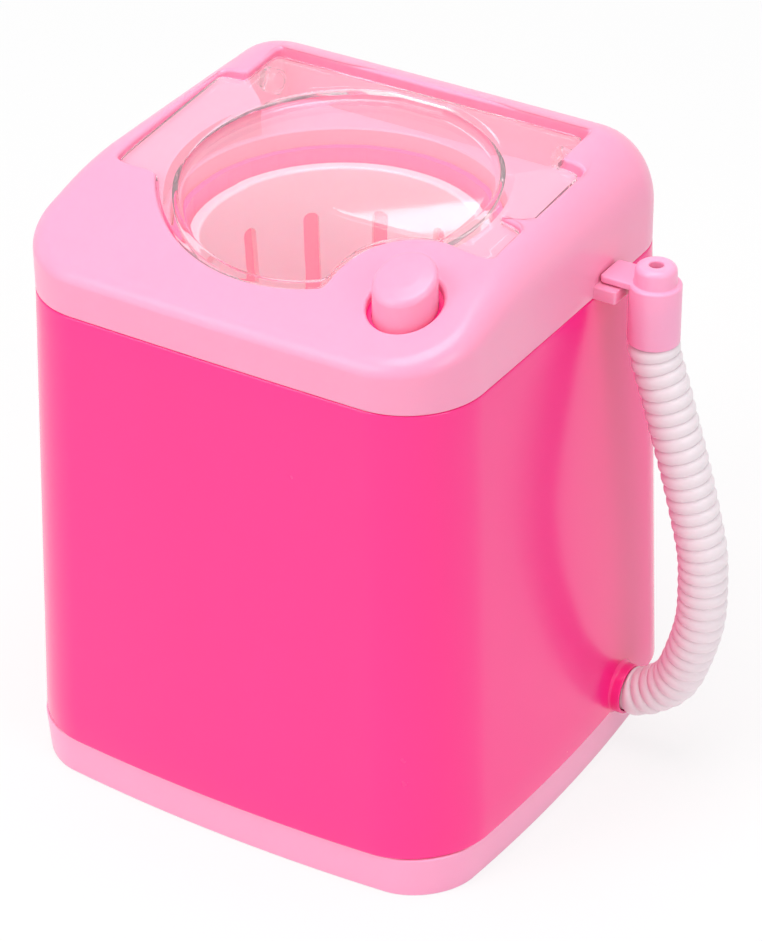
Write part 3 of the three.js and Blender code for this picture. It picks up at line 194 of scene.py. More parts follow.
# Screws under the base, and the cells' sleeves
SINK_GAP = 0.1 * MM
SINK_DEPTH = 1.9 * MM
HEAD_THICK = 1.6 * MM
SHANK_RADIUS = 1.0 * MM
CROSS_HALF = np.array([1.25, 0.3]) * MM
CELL_BAND = 12 * MM

# Looks: the base's pink is the cover's painted lighter, to offset the shade near the floor
LIGHTER_AGAINST_SHADE = 1.12
# The tub's painted glow: an emission of its own pink that stands in for the daylight its thin walls let through
TUB_PAINTED_GLOW = 0.35

# Camera, fitted to the straight edges of the case in the photograph
VIEW_TURN = math.radians(32.235)
VIEW_RISE = math.radians(32.572)
VIEW_ROLL = math.radians(-0.601)
VIEW_DISTANCE = 0.706
VIEW_SHIFT = np.array([6.558, -0.898]) * MM
VIEW_HEIGHT = 60 * MM
LENS = 135.81
GLINT_SHAPE = 0.17


def linear(red, green, blue):
    """Scene colour of a colour as a screen shows it, by the standard curve."""
    shares = np.array([red, green, blue]) / 255
    curve = np.where(shares <= 0.04045, shares / 12.92, ((shares + 0.055) / 1.055) ** 2.4)
    return tuple(float(value) for value in curve)


# Sizes and colours that a user can change


class WasherSizes(bpy.types.PropertyGroup):
    """Sizes of the visible shapes."""

    total_height: FloatProperty(
        name="Total height", description="Floor to the level rear of the cover's top", default=0.130, unit="LENGTH")
    band_height: FloatProperty(
        name="Case height", description="Floor to the seam between the case and the cover", default=0.107,
        unit="LENGTH")
    base_height: FloatProperty(
        name="Base height", description="Floor to the seam between the base and the case", default=0.009,
        unit="LENGTH")
    lip_round: FloatProperty(
        name="Lip rounding", description="Radius of the edges round the lid's recess", default=0.0007, unit="LENGTH")
    dish_radius: FloatProperty(
        name="Dish radius", description="Radius of the round dish in the lid", default=0.0304, unit="LENGTH")
    button_radius: FloatProperty(
        name="Button radius", description="Radius of the push button", default=0.006, unit="LENGTH")
    hose_radius: FloatProperty(
        name="Hose radius", description="Radius over the ribs of the hose", default=0.005, unit="LENGTH")
    rib_count: IntProperty(name="Ribs", description="Number of ribs on the hose", default=34, min=1)
    slot_count: IntProperty(name="Basket slots", description="Number of upright slots in the basket", default=12, min=1)


class WasherColours(bpy.types.PropertyGroup):
    """Colours of the finishes."""

    case: FloatVectorProperty(
        name="Case", description="Hot pink of the case", subtype="COLOR", default=linear(255, 36, 139))
    cover: FloatVectorProperty(
        name="Cover", description="Pale pink of cover, base, button and cap", subtype="COLOR",
        default=linear(253, 159, 193))
    lid: FloatVectorProperty(
        name="Lid", description="Tint of the clear lid", subtype="COLOR", default=linear(255, 243, 247))
    basket: FloatVectorProperty(
        name="Basket", description="Pinkish white of the basket", subtype="COLOR", default=linear(254, 220, 230))
    hose: FloatVectorProperty(
        name="Hose", description="White of the ribbed hose", subtype="COLOR", default=linear(238, 226, 231))


# Shader trees: values carry their own arithmetic


def arithmetic(operation):
    """Method that joins a wire and another value in one Math node."""
    return lambda wire, other: wire.paint.node("Math", {0: wire, 1: other}, operation=operation)


class Wire:
    """A socket of a shader tree: each arithmetic sign on it adds one Math node."""

    def __init__(self, paint, socket):
        self.paint = paint
        self.socket = socket

    __add__ = __radd__ = arithmetic("ADD")
    __mul__ = arithmetic("MULTIPLY")
    __pow__ = arithmetic("POWER")
    __gt__ = arithmetic("GREATER_THAN")
    at_most = arithmetic("MINIMUM")


class Paint:
    """A material or world being painted: nodes are added by kind, and numbers, colours or wires feed their sockets."""

    def __init__(self, owner):
        owner.use_nodes = True
        self.owner = owner
        self.tree = owner.node_tree
        self.tree.nodes.clear()

    def feed(self, socket, value):
        if isinstance(value, Wire):
            self.tree.links.new(value.socket, socket)
        elif hasattr(value, "__len__") and len(value) == 3 and len(socket.default_value) == 4:
            socket.default_value = (*value, 1)
        else:
            socket.default_value = value

    def node(self, kind, inputs=None, output=0, **settings):
        made = self.tree.nodes.new("ShaderNode" + kind)
        for name, value in settings.items():
            setattr(made, name, value)
        for name, value in (inputs or {}).items():
            self.feed(made.inputs[name], value)
        return Wire(self, made.outputs[output])

    def mixed(self, factor, first, second):
        """Colour between two colours."""
        return self.node("Mix", {0: factor, 6: first, 7: second}, output=2, data_type="RGBA")

    def shaded(self, colour, factor):
        """A colour with each of its parts times one value."""
        grey = self.node("CombineXYZ", {0: factor, 1: factor, 2: factor})
        return self.node("VectorMath", {0: tuple(colour), 1: grey}, operation="MULTIPLY")

    def noise(self, scale, detail=2.0, stretch=(1, 1, 1)):
        """Noise from 0 to 1 on the object's own coordinates, so many lumps to the metre."""
        place = self.node("TexCoord", output="Object")
        scaled = self.node("Mapping", {"Vector": place, "Scale": stretch})
        return self.node("TexNoise", {"Vector": scaled, "Scale": scale, "Detail": detail})

    def bump(self, height, distance, strength=1.0):
        """Normal of a relief: height from 0 to 1 over a real depth."""
        return self.node("Bump", {"Height": height, "Distance": distance, "Strength": strength})

    def ray_is(self, *kinds):
        """1 on a ray of one of the kinds, and 0 on any other ray."""
        first, *rest = (self.node("LightPath", output=f"Is {kind} Ray") for kind in kinds)
        return sum(rest, first).at_most(1.0)

    def shader(self, **inputs):
        """The standard surface shader, its sockets named with underscores for spaces."""
        return self.node("BsdfPrincipled", {name.replace("_", " "): value for name, value in inputs.items()})

    def finish(self, surface, output="OutputMaterial"):
        """Ends the tree in its output node and gives back the material or the world."""
        end = self.tree.nodes.new("ShaderNode" + output)
        self.tree.links.new(surface.socket, end.inputs["Surface"])
        return self.owner


def moulded(paint, colour, roughness, gloss=0.0, glow=0.06, painted_glow=0.0):
    """Moulded plastic: a skin of fine orange peel, faint flow clouds drawn up the wall, and dull rubbed patches; an
    emission of its own colour, where asked for, is a painted glow.
    """
    clouds = paint.noise(28, 3.0, (1, 1, 0.45))
    rubbed = paint.noise(160, 5.0) ** 4
    peel = paint.noise(900, 1.0)
    return paint.shader(
        Base_Color=paint.shaded(colour, 0.965 + clouds * 0.07),
        Roughness=roughness - 0.04 + clouds * 0.06 + rubbed * 0.12,
        Coat_Weight=gloss, Coat_Roughness=0.12, IOR=1.46,
        Subsurface_Weight=glow, Subsurface_Scale=0.002, Subsurface_Radius=(1.0, 0.4, 0.5),
        Normal=paint.bump(peel, 0.02 * MM, 0.3), Emission_Color=tuple(colour), Emission_Strength=painted_glow,
    )


def clear_plastic(paint, tint):
    """Clear plastic: it bends light, keeps a glossy skin with faint moulding waves, and its shadow stays pale."""
    waves = paint.noise(45)
    fine = paint.noise(300)
    clear = paint.shader(
        Base_Color=paint.shaded(tint, 0.97 + fine * 0.03), Roughness=0.01 + fine * 0.03, IOR=1.2,
        Transmission_Weight=0.92, Coat_Weight=1.0, Coat_Roughness=0.02, Normal=paint.bump(waves, 0.1 * MM, 0.3),
    )
    passing = paint.node("BsdfTransparent", {"Color": (0.98, 0.95, 0.96)})
    return paint.node("MixShader", {0: paint.ray_is("Shadow", "Diffuse"), 1: clear, 2: passing})


def metal(paint, colour, roughness, stretch=(1, 1, 1)):
    """Metal with fine drawn lines along one direction and soft dull clouds."""
    lines = paint.noise(900, 3.0, stretch)
    clouds = paint.noise(120)
    return paint.shader(
        Base_Color=paint.shaded(colour, 0.85 + lines * 0.15 + clouds * 0.1), Metallic=1.0,
        Roughness=roughness + lines * 0.15, Normal=paint.bump(lines, 0.02 * MM, 0.5),
    )


def rubber(paint, colour):
    """Matt rubber or wire skin with a fine grain."""
    grain = paint.noise(1500, 3.0)
    return paint.shader(
        Base_Color=paint.shaded(colour, 0.9 + grain * 0.2), Roughness=0.6 + grain * 0.2,
        Normal=paint.bump(grain, 0.03 * MM, 0.6),
    )


def cell_sleeve(paint):
    """Battery sleeve along X: a dark sleeve and a copper band near one end."""
    place = paint.node("TexCoord", output="Object")
    along = paint.node("SeparateXYZ", {0: place}, output="X")
    sheen = paint.noise(200, 2.0, (0.2, 1, 1))
    banded = paint.mixed(along > CELL_BAND, linear(38, 52, 78), linear(196, 120, 66))
    return paint.shader(
        Base_Color=paint.mixed(sheen * 0.15, banded, (0.8, 0.8, 0.82)), Metallic=0.4,
        Roughness=0.3 + sheen * 0.1, Normal=paint.bump(sheen, 0.03 * MM, 0.3),
    )


def finish_of(look):
    """The finish of that look, made on its first use by its maker from what it is told."""
    colours = bpy.context.scene.washer_colours
    shade_lightened = np.minimum(np.array(colours.cover) * LIGHTER_AGAINST_SHADE, 1)
    name, make, *told = {
        "pale_pink": ("pale_pink_plastic", moulded, colours.cover, 0.34, 0.15, 0.3),
        # The cover's pink painted lighter, against the shade near the floor
        "paler_pink": ("paler_pink_plastic", moulded, shade_lightened, 0.34, 0.15, 0.15),
        "hot_pink": ("hot_pink_plastic", moulded, colours.case, 0.24, 0.3),
        # Painted glow: the tub's emission stands in for the light that reaches it
        "lit_pink": ("lit_pink_plastic", moulded, colours.case, 0.3, 0.0, 0.06, TUB_PAINTED_GLOW),
        "clear_plastic": ("clear_lid_plastic", clear_plastic, colours.lid),
        "basket_plastic": ("basket_plastic_skin", moulded, colours.basket, 0.3, 0.2, 0.6),
        "hose_plastic": ("hose_plastic_skin", moulded, colours.hose, 0.36),
        "white_plastic": ("white_inner_plastic", moulded, linear(228, 225, 220), 0.42),
        "dark_plastic": ("dark_inner_plastic", moulded, linear(40, 40, 44), 0.4),
        "steel": ("bright_steel", metal, linear(200, 202, 206), 0.25, (1, 1, 6)),
        "brass": ("drawn_brass", metal, linear(201, 165, 90), 0.28),
        "rubber": ("black_rubber", rubber, linear(40, 40, 42)),
        "cell_label": ("cell_sleeve", cell_sleeve),
        "wire_red": ("red_wire_skin", rubber, linear(176, 44, 40)),
    }[look]
    if name not in bpy.data.materials:
        paint = Paint(bpy.data.materials.new(name))
        paint.finish(make(paint, *told))
    return bpy.data.materials[name]


def dress(piece, body, slot, *nodes, look=None):
    """Gives a finished piece the finish of its look, or of its slot where no look is given, hangs it under its body,
    and hides the CAD nodes that it stands for.
    """
    piece.data.materials.clear()
    piece.data.materials.append(finish_of(look or slot))
    if body:
        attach(piece, body)
    if nodes:
        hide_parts(*nodes)


# Surfaces


def smoothed(mesh):
    mesh.shade_smooth()
    mesh.set_sharp_from_angle(angle=math.radians(38))


def surface(name, rings, closed=False):
    """Object over a grid of rings (levels, around, 3) that each run anticlockwise seen from above.

    Neighbouring levels are joined by four-sided faces, and the last level joins the first one where closed. Rings that
    shrink to a point are welded into a pole. The enclosed volume says which way is out.
    """
    levels, around, _ = rings.shape
    level = np.arange(levels if closed else levels - 1)[:, None]
    step = np.arange(around)[None, :]
    above = (level + 1) % levels
    beside = (step + 1) % around
    faces = np.stack(
        [level * around + step, level * around + beside, above * around + beside, above * around + step], axis=-1,
    ).reshape(-1, 4)
    mesh = bpy.data.meshes.new(name)
    mesh.from_pydata(rings.reshape(-1, 3), [], faces)
    made = bmesh.new()
    made.from_mesh(mesh)
    bmesh.ops.remove_doubles(made, verts=made.verts, dist=2 * SAME_SPOT)
    bmesh.ops.dissolve_degenerate(made, edges=made.edges, dist=SAME_SPOT)
    if made.calc_volume(signed=True) < 0:
        bmesh.ops.reverse_faces(made, faces=made.faces)
    made.to_mesh(mesh)
    made.free()
    smoothed(mesh)
    piece = bpy.data.objects.new(name, mesh)
    bpy.context.scene.collection.objects.link(piece)
    return piece


def combined(piece, tool, operation="DIFFERENCE"):
    """Cuts the tool out of a piece or joins it on, and removes the tool."""
    change = piece.modifiers.new("change", "BOOLEAN")
    change.operation = operation
    change.solver = "EXACT"
    change.object = tool
    graph = bpy.context.evaluated_depsgraph_get()
    mesh = bpy.data.meshes.new_from_object(piece.evaluated_get(graph))
    piece.modifiers.clear()
    old = piece.data
    piece.data = mesh
    bpy.data.meshes.remove(old)
    bpy.data.objects.remove(tool)
    mesh.name = piece.name
    smoothed(mesh)
    return piece


def circle(around):
    """Points of the unit circle in even steps."""
    angle = np.linspace(0, FULL_TURN, around, endpoint=False)
    return np.column_stack([np.cos(angle), np.sin(angle)])


def quarter(steps=6):
    """Inset and rise of a rounded edge of radius 1, from its flat side to its upright side."""
    turn = np.linspace(0, math.pi / 2, steps)
    return 1 - np.sin(turn), 1 - np.cos(turn)


def rounded(corners, steps=7):
    """Closed profile through (across, up, radius): every corner becomes an arc that touches both of its sides.

    The arc's centre stands on the line that halves the corner, at radius / sin(half the corner's angle).
    """
    corners = np.array(corners, float)
    spot, radius = corners[:, :2], corners[:, 2:]
    back = np.roll(spot, 1, axis=0) - spot
    ahead = np.roll(spot, -1, axis=0) - spot
    back /= np.linalg.norm(back, axis=1, keepdims=True)
    ahead /= np.linalg.norm(ahead, axis=1, keepdims=True)
    half = np.arccos(np.clip((back * ahead).sum(axis=1, keepdims=True), -1, 1)) / 2
    middle = (back + ahead) / np.linalg.norm(back + ahead, axis=1, keepdims=True)
    centre = spot + middle * radius / np.sin(half)
    start = spot + back * radius / np.tan(half) - centre
    end = spot + ahead * radius / np.tan(half) - centre
    turn = math.pi - 2 * half
    share = np.linspace(0, 1, steps)[:, None, None]
    arc = centre + (np.sin((1 - share) * turn) * start + np.sin(share * turn) * end) / np.sin(turn)
    points = arc.transpose(1, 0, 2).reshape(-1, 2)
    return points[np.linalg.norm(points - np.roll(points, 1, axis=0), axis=1) > SAME_SPOT]


def from_axis(profile):
    """A closed profile (radius, height) begun at its lowest point on the axis."""
    return np.roll(profile, -int(np.argmin(profile[:, 0] / MM + profile[:, 1])), axis=0)


def turned(profile, at=(0.0, 0.0), around=96):
    """Rings of a profile (radius, height) turned about an upright axis: (r cos a, r sin a, z)."""
    return levelled(at + profile[:, :1, None] * circle(around), profile[:, 1])


def levelled(plans, heights):
    """Rings over plan lines (levels, around, 2), one height to a level."""
    return np.concatenate([plans, np.broadcast_to(heights[:, None, None], plans[..., :1].shape)], axis=-1)


def along_x(rings, y, z):
    """Upright rings laid along X, about a line at y and z."""
    return np.stack([rings[..., 2], y + rings[..., 0], z + rings[..., 1]], axis=-1)


def outward(plan):
    """Unit directions out of a closed plan line that runs anticlockwise: its tangent turned a quarter clockwise."""
    along = np.roll(plan, -1, axis=0) - np.roll(plan, 1, axis=0)
    away = np.column_stack([along[:, 1], -along[:, 0]])
    return away / np.maximum(np.linalg.norm(away, axis=1, keepdims=True), 1e-12)


def at_height(plan, height):
    return np.column_stack([plan, np.broadcast_to(height, len(plan))])


def pad(plan, foot, top, edge, steps=6):
    """Rings of a slab over a plan line: a quarter circle rounds both ends' edges, and each end closes in its middle."""
    inset, rise = quarter(steps)
    sides = plan - outward(plan) * edge * np.concatenate([inset, inset[::-1]])[:, None, None]
    middle = np.broadcast_to(plan.mean(axis=0), sides[:1].shape)
    heights = np.concatenate([[foot], foot + edge * rise, top - edge * rise[::-1], [top]])
    return levelled(np.concatenate([middle, sides, middle]), heights)


def rectangle(low, high, radius):
    """Plan line of a rectangle between two corners, itself with rounded ones."""
    return rounded([(x, y, radius) for x, y in (low[:2], (high[0], low[1]), high[:2], (low[0], high[1]))])


def block(name, low, high, radius, edge, steps=6):
    """Block between two corners (x, y, z), with rounded upright edges and finely rounded level ones."""
    return surface(name, pad(rectangle(low, high, radius), low[2], high[2], edge, steps))


def bar(name, at, radius, foot, top, edge, steps=6, around=40):
    """Upright round bar."""
    return surface(name, pad(np.array(at) + radius * circle(around), foot, top, edge, steps))


def bars_along_x(name, radius, spans, at):
    """Round bars along X, about a line at (y, z)."""
    made = None
    for start, end in spans:
        piece = surface(name, along_x(pad(radius * circle(48), start, end, 0.12 * MM, 3), *at))
        made = combined(made, piece, "UNION") if made else piece
    return made


def both_sides(inner, outer):
    """The same span at the left and at the right of the middle."""
    return (-outer, -inner), (inner, outer)


# Plan lines of the case and the cover


def rays():
    """Angles and directions of the rays from the basket's axis that all the plan lines' points lie on."""
    angle = np.linspace(-math.pi, math.pi, AROUND, endpoint=False)
    return angle, np.column_stack([np.cos(angle), np.sin(angle)])


def case_line(half, corners):
    """Outline of the case before it bows: straight sides, an arc at each corner, and each point's outward direction."""
    arcs = []
    sides = [(1, -1, corners[0]), (1, 1, corners[1]), (-1, 1, corners[1]), (-1, -1, corners[0])]
    for index, (side_x, side_y, radius) in enumerate(sides):
        turn = (index - 1) * math.pi / 2 + np.linspace(0, math.pi / 2, 48)
        way = np.column_stack([np.cos(turn), np.sin(turn)])
        centre = np.array([side_x * (half[0] - radius), side_y * (half[1] - radius)])
        arcs.append(np.hstack([centre + radius * way, way]))
    share = np.linspace(0, 1, 60)[1:-1, None]
    line = []
    for arc, follow in zip(arcs, arcs[1:] + arcs[:1]):
        side = arc[-1] + share * (follow[0] - arc[-1])
        side[:, 2:] = arc[-1, 2:]
        line += [arc, side]
    line = np.concatenate(line)
    seen = np.arctan2(line[:, 1] - AXIS[1], line[:, 0] - AXIS[0])
    order = np.argsort(seen)
    found = [np.interp(rays()[0], seen[order], part[order], period=FULL_TURN) for part in line.T]
    return np.column_stack(found[:2]), np.column_stack(found[2:])


def bowed(points, half):
    """Sides bowed outward: x times 1 - bow / half width * (y / half depth)^2, and the same for y."""
    x, y = points[..., 0], points[..., 1]
    return np.stack([
        x * (1 - half[2] / half[0] * (y / half[1]) ** 2), y * (1 - half[2] / half[1] * (x / half[0]) ** 2),
    ], axis=-1)


def tapered(low_half, low_corners, high_half, high_corners, inset, share):
    """Plan lines between a low and a high outline, each set in by its own amount, at its own share of the way up."""
    plans = []
    for half, corners in ((low_half, low_corners), (high_half, high_corners)):
        line, way = case_line(half, corners)
        plans.append(bowed(line - inset[:, None, None] * way, half))
    return plans[0] + share[:, None, None] * (plans[1] - plans[0])


def top_height(y, total):
    """Height of the top: level at the rear, then a slope, a bend whose slope grows evenly, and a steeper slope."""
    length = BEND_START - BEND_END
    share = np.clip((BEND_START - y) / length, 0, 1)
    fall = BACK_SLOPE * np.clip(LEVEL_START - y, 0, None)
    extra = (FRONT_SLOPE - BACK_SLOPE) * (length * share ** 2 / 2 + np.clip(BEND_END - y, 0, None))
    return total - fall - extra


def circle_hits(way, centre, radius):
    """Distances along each ray to where it enters a circle, or far away where it misses it, and to where it leaves."""
    offset = centre - AXIS
    along = way @ offset
    hit = radius ** 2 - offset @ offset + along ** 2
    half = np.sqrt(np.maximum(hit, 0))
    return np.where((hit > 0) & (along > 0), along - half, FAR), along + half


def leaving_box(way, low, high):
    """Distance along each ray to where it leaves an upright rectangle."""
    to_low, to_high = np.array(low) - AXIS, np.array(high) - AXIS
    with np.errstate(divide="ignore"):
        first = np.where(way > 0, to_low / way, to_high / way).max(axis=1)
        last = np.where(way > 0, to_high / way, to_low / way).min(axis=1)
    return np.where(first < last, last, 0)


def eased(distance, steps=3):
    """Distances round a full turn with their sharp corners rounded by a short bell-shaped mean."""
    weights = np.exp(-0.5 * (np.arange(-3 * steps, 3 * steps + 1) / steps) ** 2)
    weights /= weights.sum()
    wide = np.concatenate([distance[-3 * steps:], distance, distance[:3 * steps]])
    return np.convolve(wide, weights, mode="valid")


def recess_line(grow, arc_grow, wing_rear, rear):
    """Plan of the lid's recess about the basket's axis: an arc in front, a wide middle and a narrow rear, all cut by
    the circle round the button. Along each ray the farthest of the three forms counts, and the circle ends it."""
    way = rays()[1]
    arc = np.minimum(
        circle_hits(way, ARC_CENTRE, ARC_RADIUS + arc_grow)[1],
        leaving_box(way, (-RECESS_HALF, -FAR), (RECESS_HALF, ARC_CENTRE[1])),
    )
    middle = leaving_box(way, (-RECESS_HALF - grow, RECESS_FRONT - grow), (RECESS_HALF + grow, wing_rear))
    narrow = leaving_box(way, (-WELL_HALF - grow, RECESS_FRONT), (WELL_HALF + grow, rear))
    boss = circle_hits(way, BUTTON, BOSS_RADIUS - grow)[0]
    reach = eased(np.minimum(np.maximum(np.maximum(arc, middle), narrow), boss))
    return AXIS + way * reach[:, None], reach, way


def round_line(radius, boss, limit):
    """Circle about the basket's axis, cut by a circle round the button and kept inside a limit."""
    way = rays()[1]
    reach = np.minimum(eased(np.minimum(radius, circle_hits(way, BUTTON, boss)[0])), limit)
    return AXIS + way * reach[:, None], reach


def between(first, last, count, height):
    """Plan lines from one to another in even steps, each point at the height that its own place has."""
    plans = [first + share * (last - first) for share in np.linspace(0, 1, count)]
    return [at_height(plan, height(plan)) for plan in plans]


def screw_sizes(name):
    """Place, head radius, foot and tip of an upright screw of the CAD."""
    low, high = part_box(name)
    return ((low.x + high.x) / 2, (low.y + high.y) / 2), (high.x - low.x) / 2, low.z, high.z


# Route of the hose


def smooth_route(points, each=40):
    """Centripetal Catmull-Rom curve: cubic pieces through the points, with knots spaced by the root of the distance."""
    points = np.vstack([2 * points[0] - points[1], points, 2 * points[-1] - points[-2]])
    knots = np.linalg.norm(np.diff(points, axis=0), axis=1, keepdims=True) ** 0.5
    before, here, after = knots[:-2], knots[1:-1], knots[2:]
    p0, p1, p2, p3 = points[:-3], points[1:-2], points[2:-1], points[3:]
    start = ((p1 - p0) / before - (p2 - p0) / (before + here) + (p2 - p1) / here) * here
    end = ((p2 - p1) / here - (p3 - p1) / (here + after) + (p3 - p2) / after) * here
    share = np.linspace(0, 1, each, endpoint=False)[:, None, None]
    curve = p1 + start * share + (3 * (p2 - p1) - 2 * start - end) * share ** 2
    curve = curve + (2 * (p1 - p2) + start + end) * share ** 3
    return np.vstack([curve.transpose(1, 0, 2).reshape(-1, 3), points[-2]])


def along_route(curve):
    """Distance from the route's start to each of its points."""
    return np.concatenate([[0], np.cumsum(np.linalg.norm(np.diff(curve, axis=0), axis=1))])


def tube_rings(curve, stations, around=40):
    """Rings of a tube: at each (distance, radius) a circle square to the route."""
    length = along_route(curve)
    place, ahead = (
        np.column_stack([np.interp(stations[:, 0], length, part) for part in parts.T])
        for parts in (curve, np.gradient(curve, length, axis=0))
    )
    ahead /= np.linalg.norm(ahead, axis=1, keepdims=True)
    across = np.cross([0.0, 1.0, 0.0], ahead)
    across /= np.linalg.norm(across, axis=1, keepdims=True)
    beside = np.cross(ahead, across)
    turn = circle(around)
    reach = stations[:, 1][:, None, None]
    return place[:, None] + reach * (across[:, None] * turn[:, :1] + beside[:, None] * turn[:, 1:])


# Operators


class WASHER_OT_stage(bpy.types.Operator):
    """Add the camera, the pale floor and the soft studio light"""

    bl_idname = "washer.stage"
    bl_label = "Stage"

    def execute(self, context):
        scene = context.scene
        turn, rise, roll = VIEW_TURN, VIEW_RISE, VIEW_ROLL
        back = np.array([math.sin(turn) * math.cos(rise), -math.cos(turn) * math.cos(rise), math.sin(rise)])
        right = np.array([math.cos(turn), math.sin(turn), 0])
        up = np.cross(back, right)
        right, up = right * math.cos(roll) + up * math.sin(roll), up * math.cos(roll) - right * math.sin(roll)
        target = np.array([0, 0, VIEW_HEIGHT]) + right * VIEW_SHIFT[0] + up * VIEW_SHIFT[1]
        view = bpy.data.cameras.new("view")
        view.sensor_fit = "VERTICAL"
        view.sensor_height = 36
        view.lens = LENS
        view.clip_start = 0.01
        camera = bpy.data.objects.new("view", view)
        place = Matrix(np.column_stack([right, up, back]).tolist()).to_4x4()
        place.translation = Vector(target + back * VIEW_DISTANCE)
        camera.matrix_world = place
        scene.collection.objects.link(camera)
        scene.camera = camera

        reach = np.array([0.0, 0.3, 0.8, 1.4])
        low = turned(np.column_stack([reach, 0 * reach]))
        floor = surface("floor", np.concatenate([low, low[::-1] - [0, 0, 0.01]]))
        paint = Paint(bpy.data.materials.new("floor_paper"))
        grain = paint.noise(400, 3.0)
        matt = paint.node("BsdfDiffuse", {"Color": paint.shaded((0.86, 0.86, 0.86), 0.99 + grain * 0.02)})
        glow = paint.node("Emission", {"Color": (1, 1, 1, 1), "Strength": 1.0})
        seen = paint.ray_is("Camera", "Glossy", "Transmission")
        mixed = paint.node("MixShader", {0: seen * 0.8, 1: matt, 2: glow})
        floor.data.materials.append(paint.finish(mixed))

        scene.world = bpy.data.worlds.new("studio")
        paint = Paint(scene.world)
        seen = paint.ray_is("Camera", "Glossy", "Transmission")
        air = paint.node("Background", {"Color": (1, 1, 1, 1), "Strength": 0.5 + seen * 0.5})
        paint.finish(air, "OutputWorld")

        for name, place, size, power in (
            ("key", (-0.5, -0.9, 1.0), 0.7, 4.4),
            ("fill", (-0.6, -1.0, 0.2), 0.6, 1.4),
            ("side", (0.9, -0.3, 0.6), 0.5, 2.0),
            ("top", (0.0, -0.1, 1.2), 0.8, 8.0),
            ("glint", (-0.539, 0.790, 0.846), 0.085, 0.011),
        ):
            light = bpy.data.lights.new(name, "AREA")
            light.shape = "RECTANGLE" if name == "glint" else "DISK"
            light.size = size
            light.size_y = size * GLINT_SHAPE
            light.energy = power
            lamp = bpy.data.objects.new(name, light)
            lamp.location = place
            aim = Vector((0, 0, VIEW_HEIGHT)) - Vector(place)
            lamp.rotation_euler = aim.to_track_quat("-Z", "Y").to_euler()
            scene.collection.objects.link(lamp)
        scene.view_settings.view_transform = "Standard"
        return {"FINISHED"}


class WASHER_OT_hose(bpy.types.Operator):
    """Add the ribbed drain hose and the cap that hangs on the cover's clip"""

    bl_idname = "washer.hose"
    bl_label = "Drain hose"

    def execute(self, context):
        sizes = context.scene.washer_sizes
        curve = smooth_route(HOSE_ROUTE)
        length = along_route(curve)[-1]
        outer, count = sizes.hose_radius, sizes.rib_count
        cuff = outer - CUFF_DROP
        start = PORT[0] + 0.3 * MM - HOSE_ROUTE[0, 0]
        end = length - HOSE_IN_CAP
        share = np.linspace(0, count, count * 12 + 1)
        ribs = outer - RIB_DEPTH * (1 - np.abs(np.sin(math.pi * share)) ** 0.6)
        ribs = np.column_stack([start + (end - start) * share / count, ribs])
        edge, step = 0.2 * MM, 0.05 * MM
        skin = np.vstack([
            [0, cuff - edge], [edge, cuff], [start - step, cuff], ribs,
            [end + step, cuff], [length - edge, cuff], [length, cuff - edge],
        ])
        inside = np.column_stack([np.linspace(length, 0, 90), np.full(90, outer - HOSE_WALL)])
        hose = surface("drain_hose_ribbed", tube_rings(curve, np.vstack([skin, inside])), closed=True)
        dress(hose, None, "hose_plastic", "drain_hose")
        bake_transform(hose)

        profile = rounded([
            (CAP_BORE, CAP_FOOT, 0.15 * MM), (CAP_RADIUS, CAP_FOOT, 0.18 * MM), (CAP_RADIUS, CAP_TOP, 0.6 * MM),
            (CROWN_RADII[0], CAP_TOP, 0.25 * MM), (CROWN_RADII[1], CROWN_TOP, 1.3 * MM),
            (CROWN_HOLE, CROWN_TOP, 0.35 * MM), (CROWN_HOLE, CAP_TOP - 3.9 * MM, 0.1 * MM),
            (CAP_BORE, CAP_TOP - 4.1 * MM, 0.1 * MM),
        ])
        cap = surface("hose_cap", turned(profile, CAP, 72), closed=True)
        combined(cap, block("tab", TAB_LOW, TAB_HIGH, 1.0 * MM, 0.3 * MM), "UNION")
        combined(cap, bar("peg", PEG, PEG_RADIUS, PEG_FOOT, CAP_TOP - 0.7 * MM, 0.3 * MM), "UNION")
        # The cap wears the cover's pink painted lighter, as the base does
        dress(cap, "hose_end", "pale_pink", "hose_end_cap", look="paler_pink")

        return {"FINISHED"}


class WASHER_OT_case(bpy.types.Operator):
    """Add the tapered hot pink case and the collar of its drain port"""

    bl_idname = "washer.case"
    bl_label = "Case"

    def execute(self, context):
        sizes = context.scene.washer_sizes
        foot, top = sizes.base_height, sizes.band_height
        foot_edge, top_edge = CASE_EDGES
        inset, rise = quarter()
        insets = np.concatenate([foot_edge * inset, np.zeros(14), top_edge * inset[::-1], np.full(14, BODY_WALL)])
        heights = np.concatenate([
            foot + foot_edge * rise, np.linspace(foot + foot_edge, top - top_edge, 16)[1:-1],
            top - top_edge * rise[::-1], np.linspace(top, foot, 14),
        ])
        plans = tapered(
            BODY_FOOT_HALF, BODY_FOOT_CORNERS, BODY_TOP_HALF, BODY_TOP_CORNERS, insets, (heights - foot) / (top - foot),
        )
        case = surface("case", levelled(plans, heights), closed=True)
        combined(case, bars_along_x("bore", PORT_BORE, [(44 * MM, 60 * MM)], PORT[1:]))
        dress(case, "housing", "hot_pink", "body_shell")

        profile = rounded([
            (PORT_BORE, COLLAR_FOOT, 0.1 * MM), (PORT_RADIUS + 0.7 * MM, COLLAR_FOOT, 0.1 * MM),
            (PORT_RADIUS, COLLAR_FOOT + 1.2 * MM, 0.6 * MM), (PORT_RADIUS, PORT[0], 0.25 * MM),
            (PORT_BORE, PORT[0], 0.2 * MM),
        ])
        collar = surface("port_collar", along_x(turned(profile, around=64), *PORT[1:]), closed=True)
        dress(collar, "housing", "hot_pink")
        return {"FINISHED"}


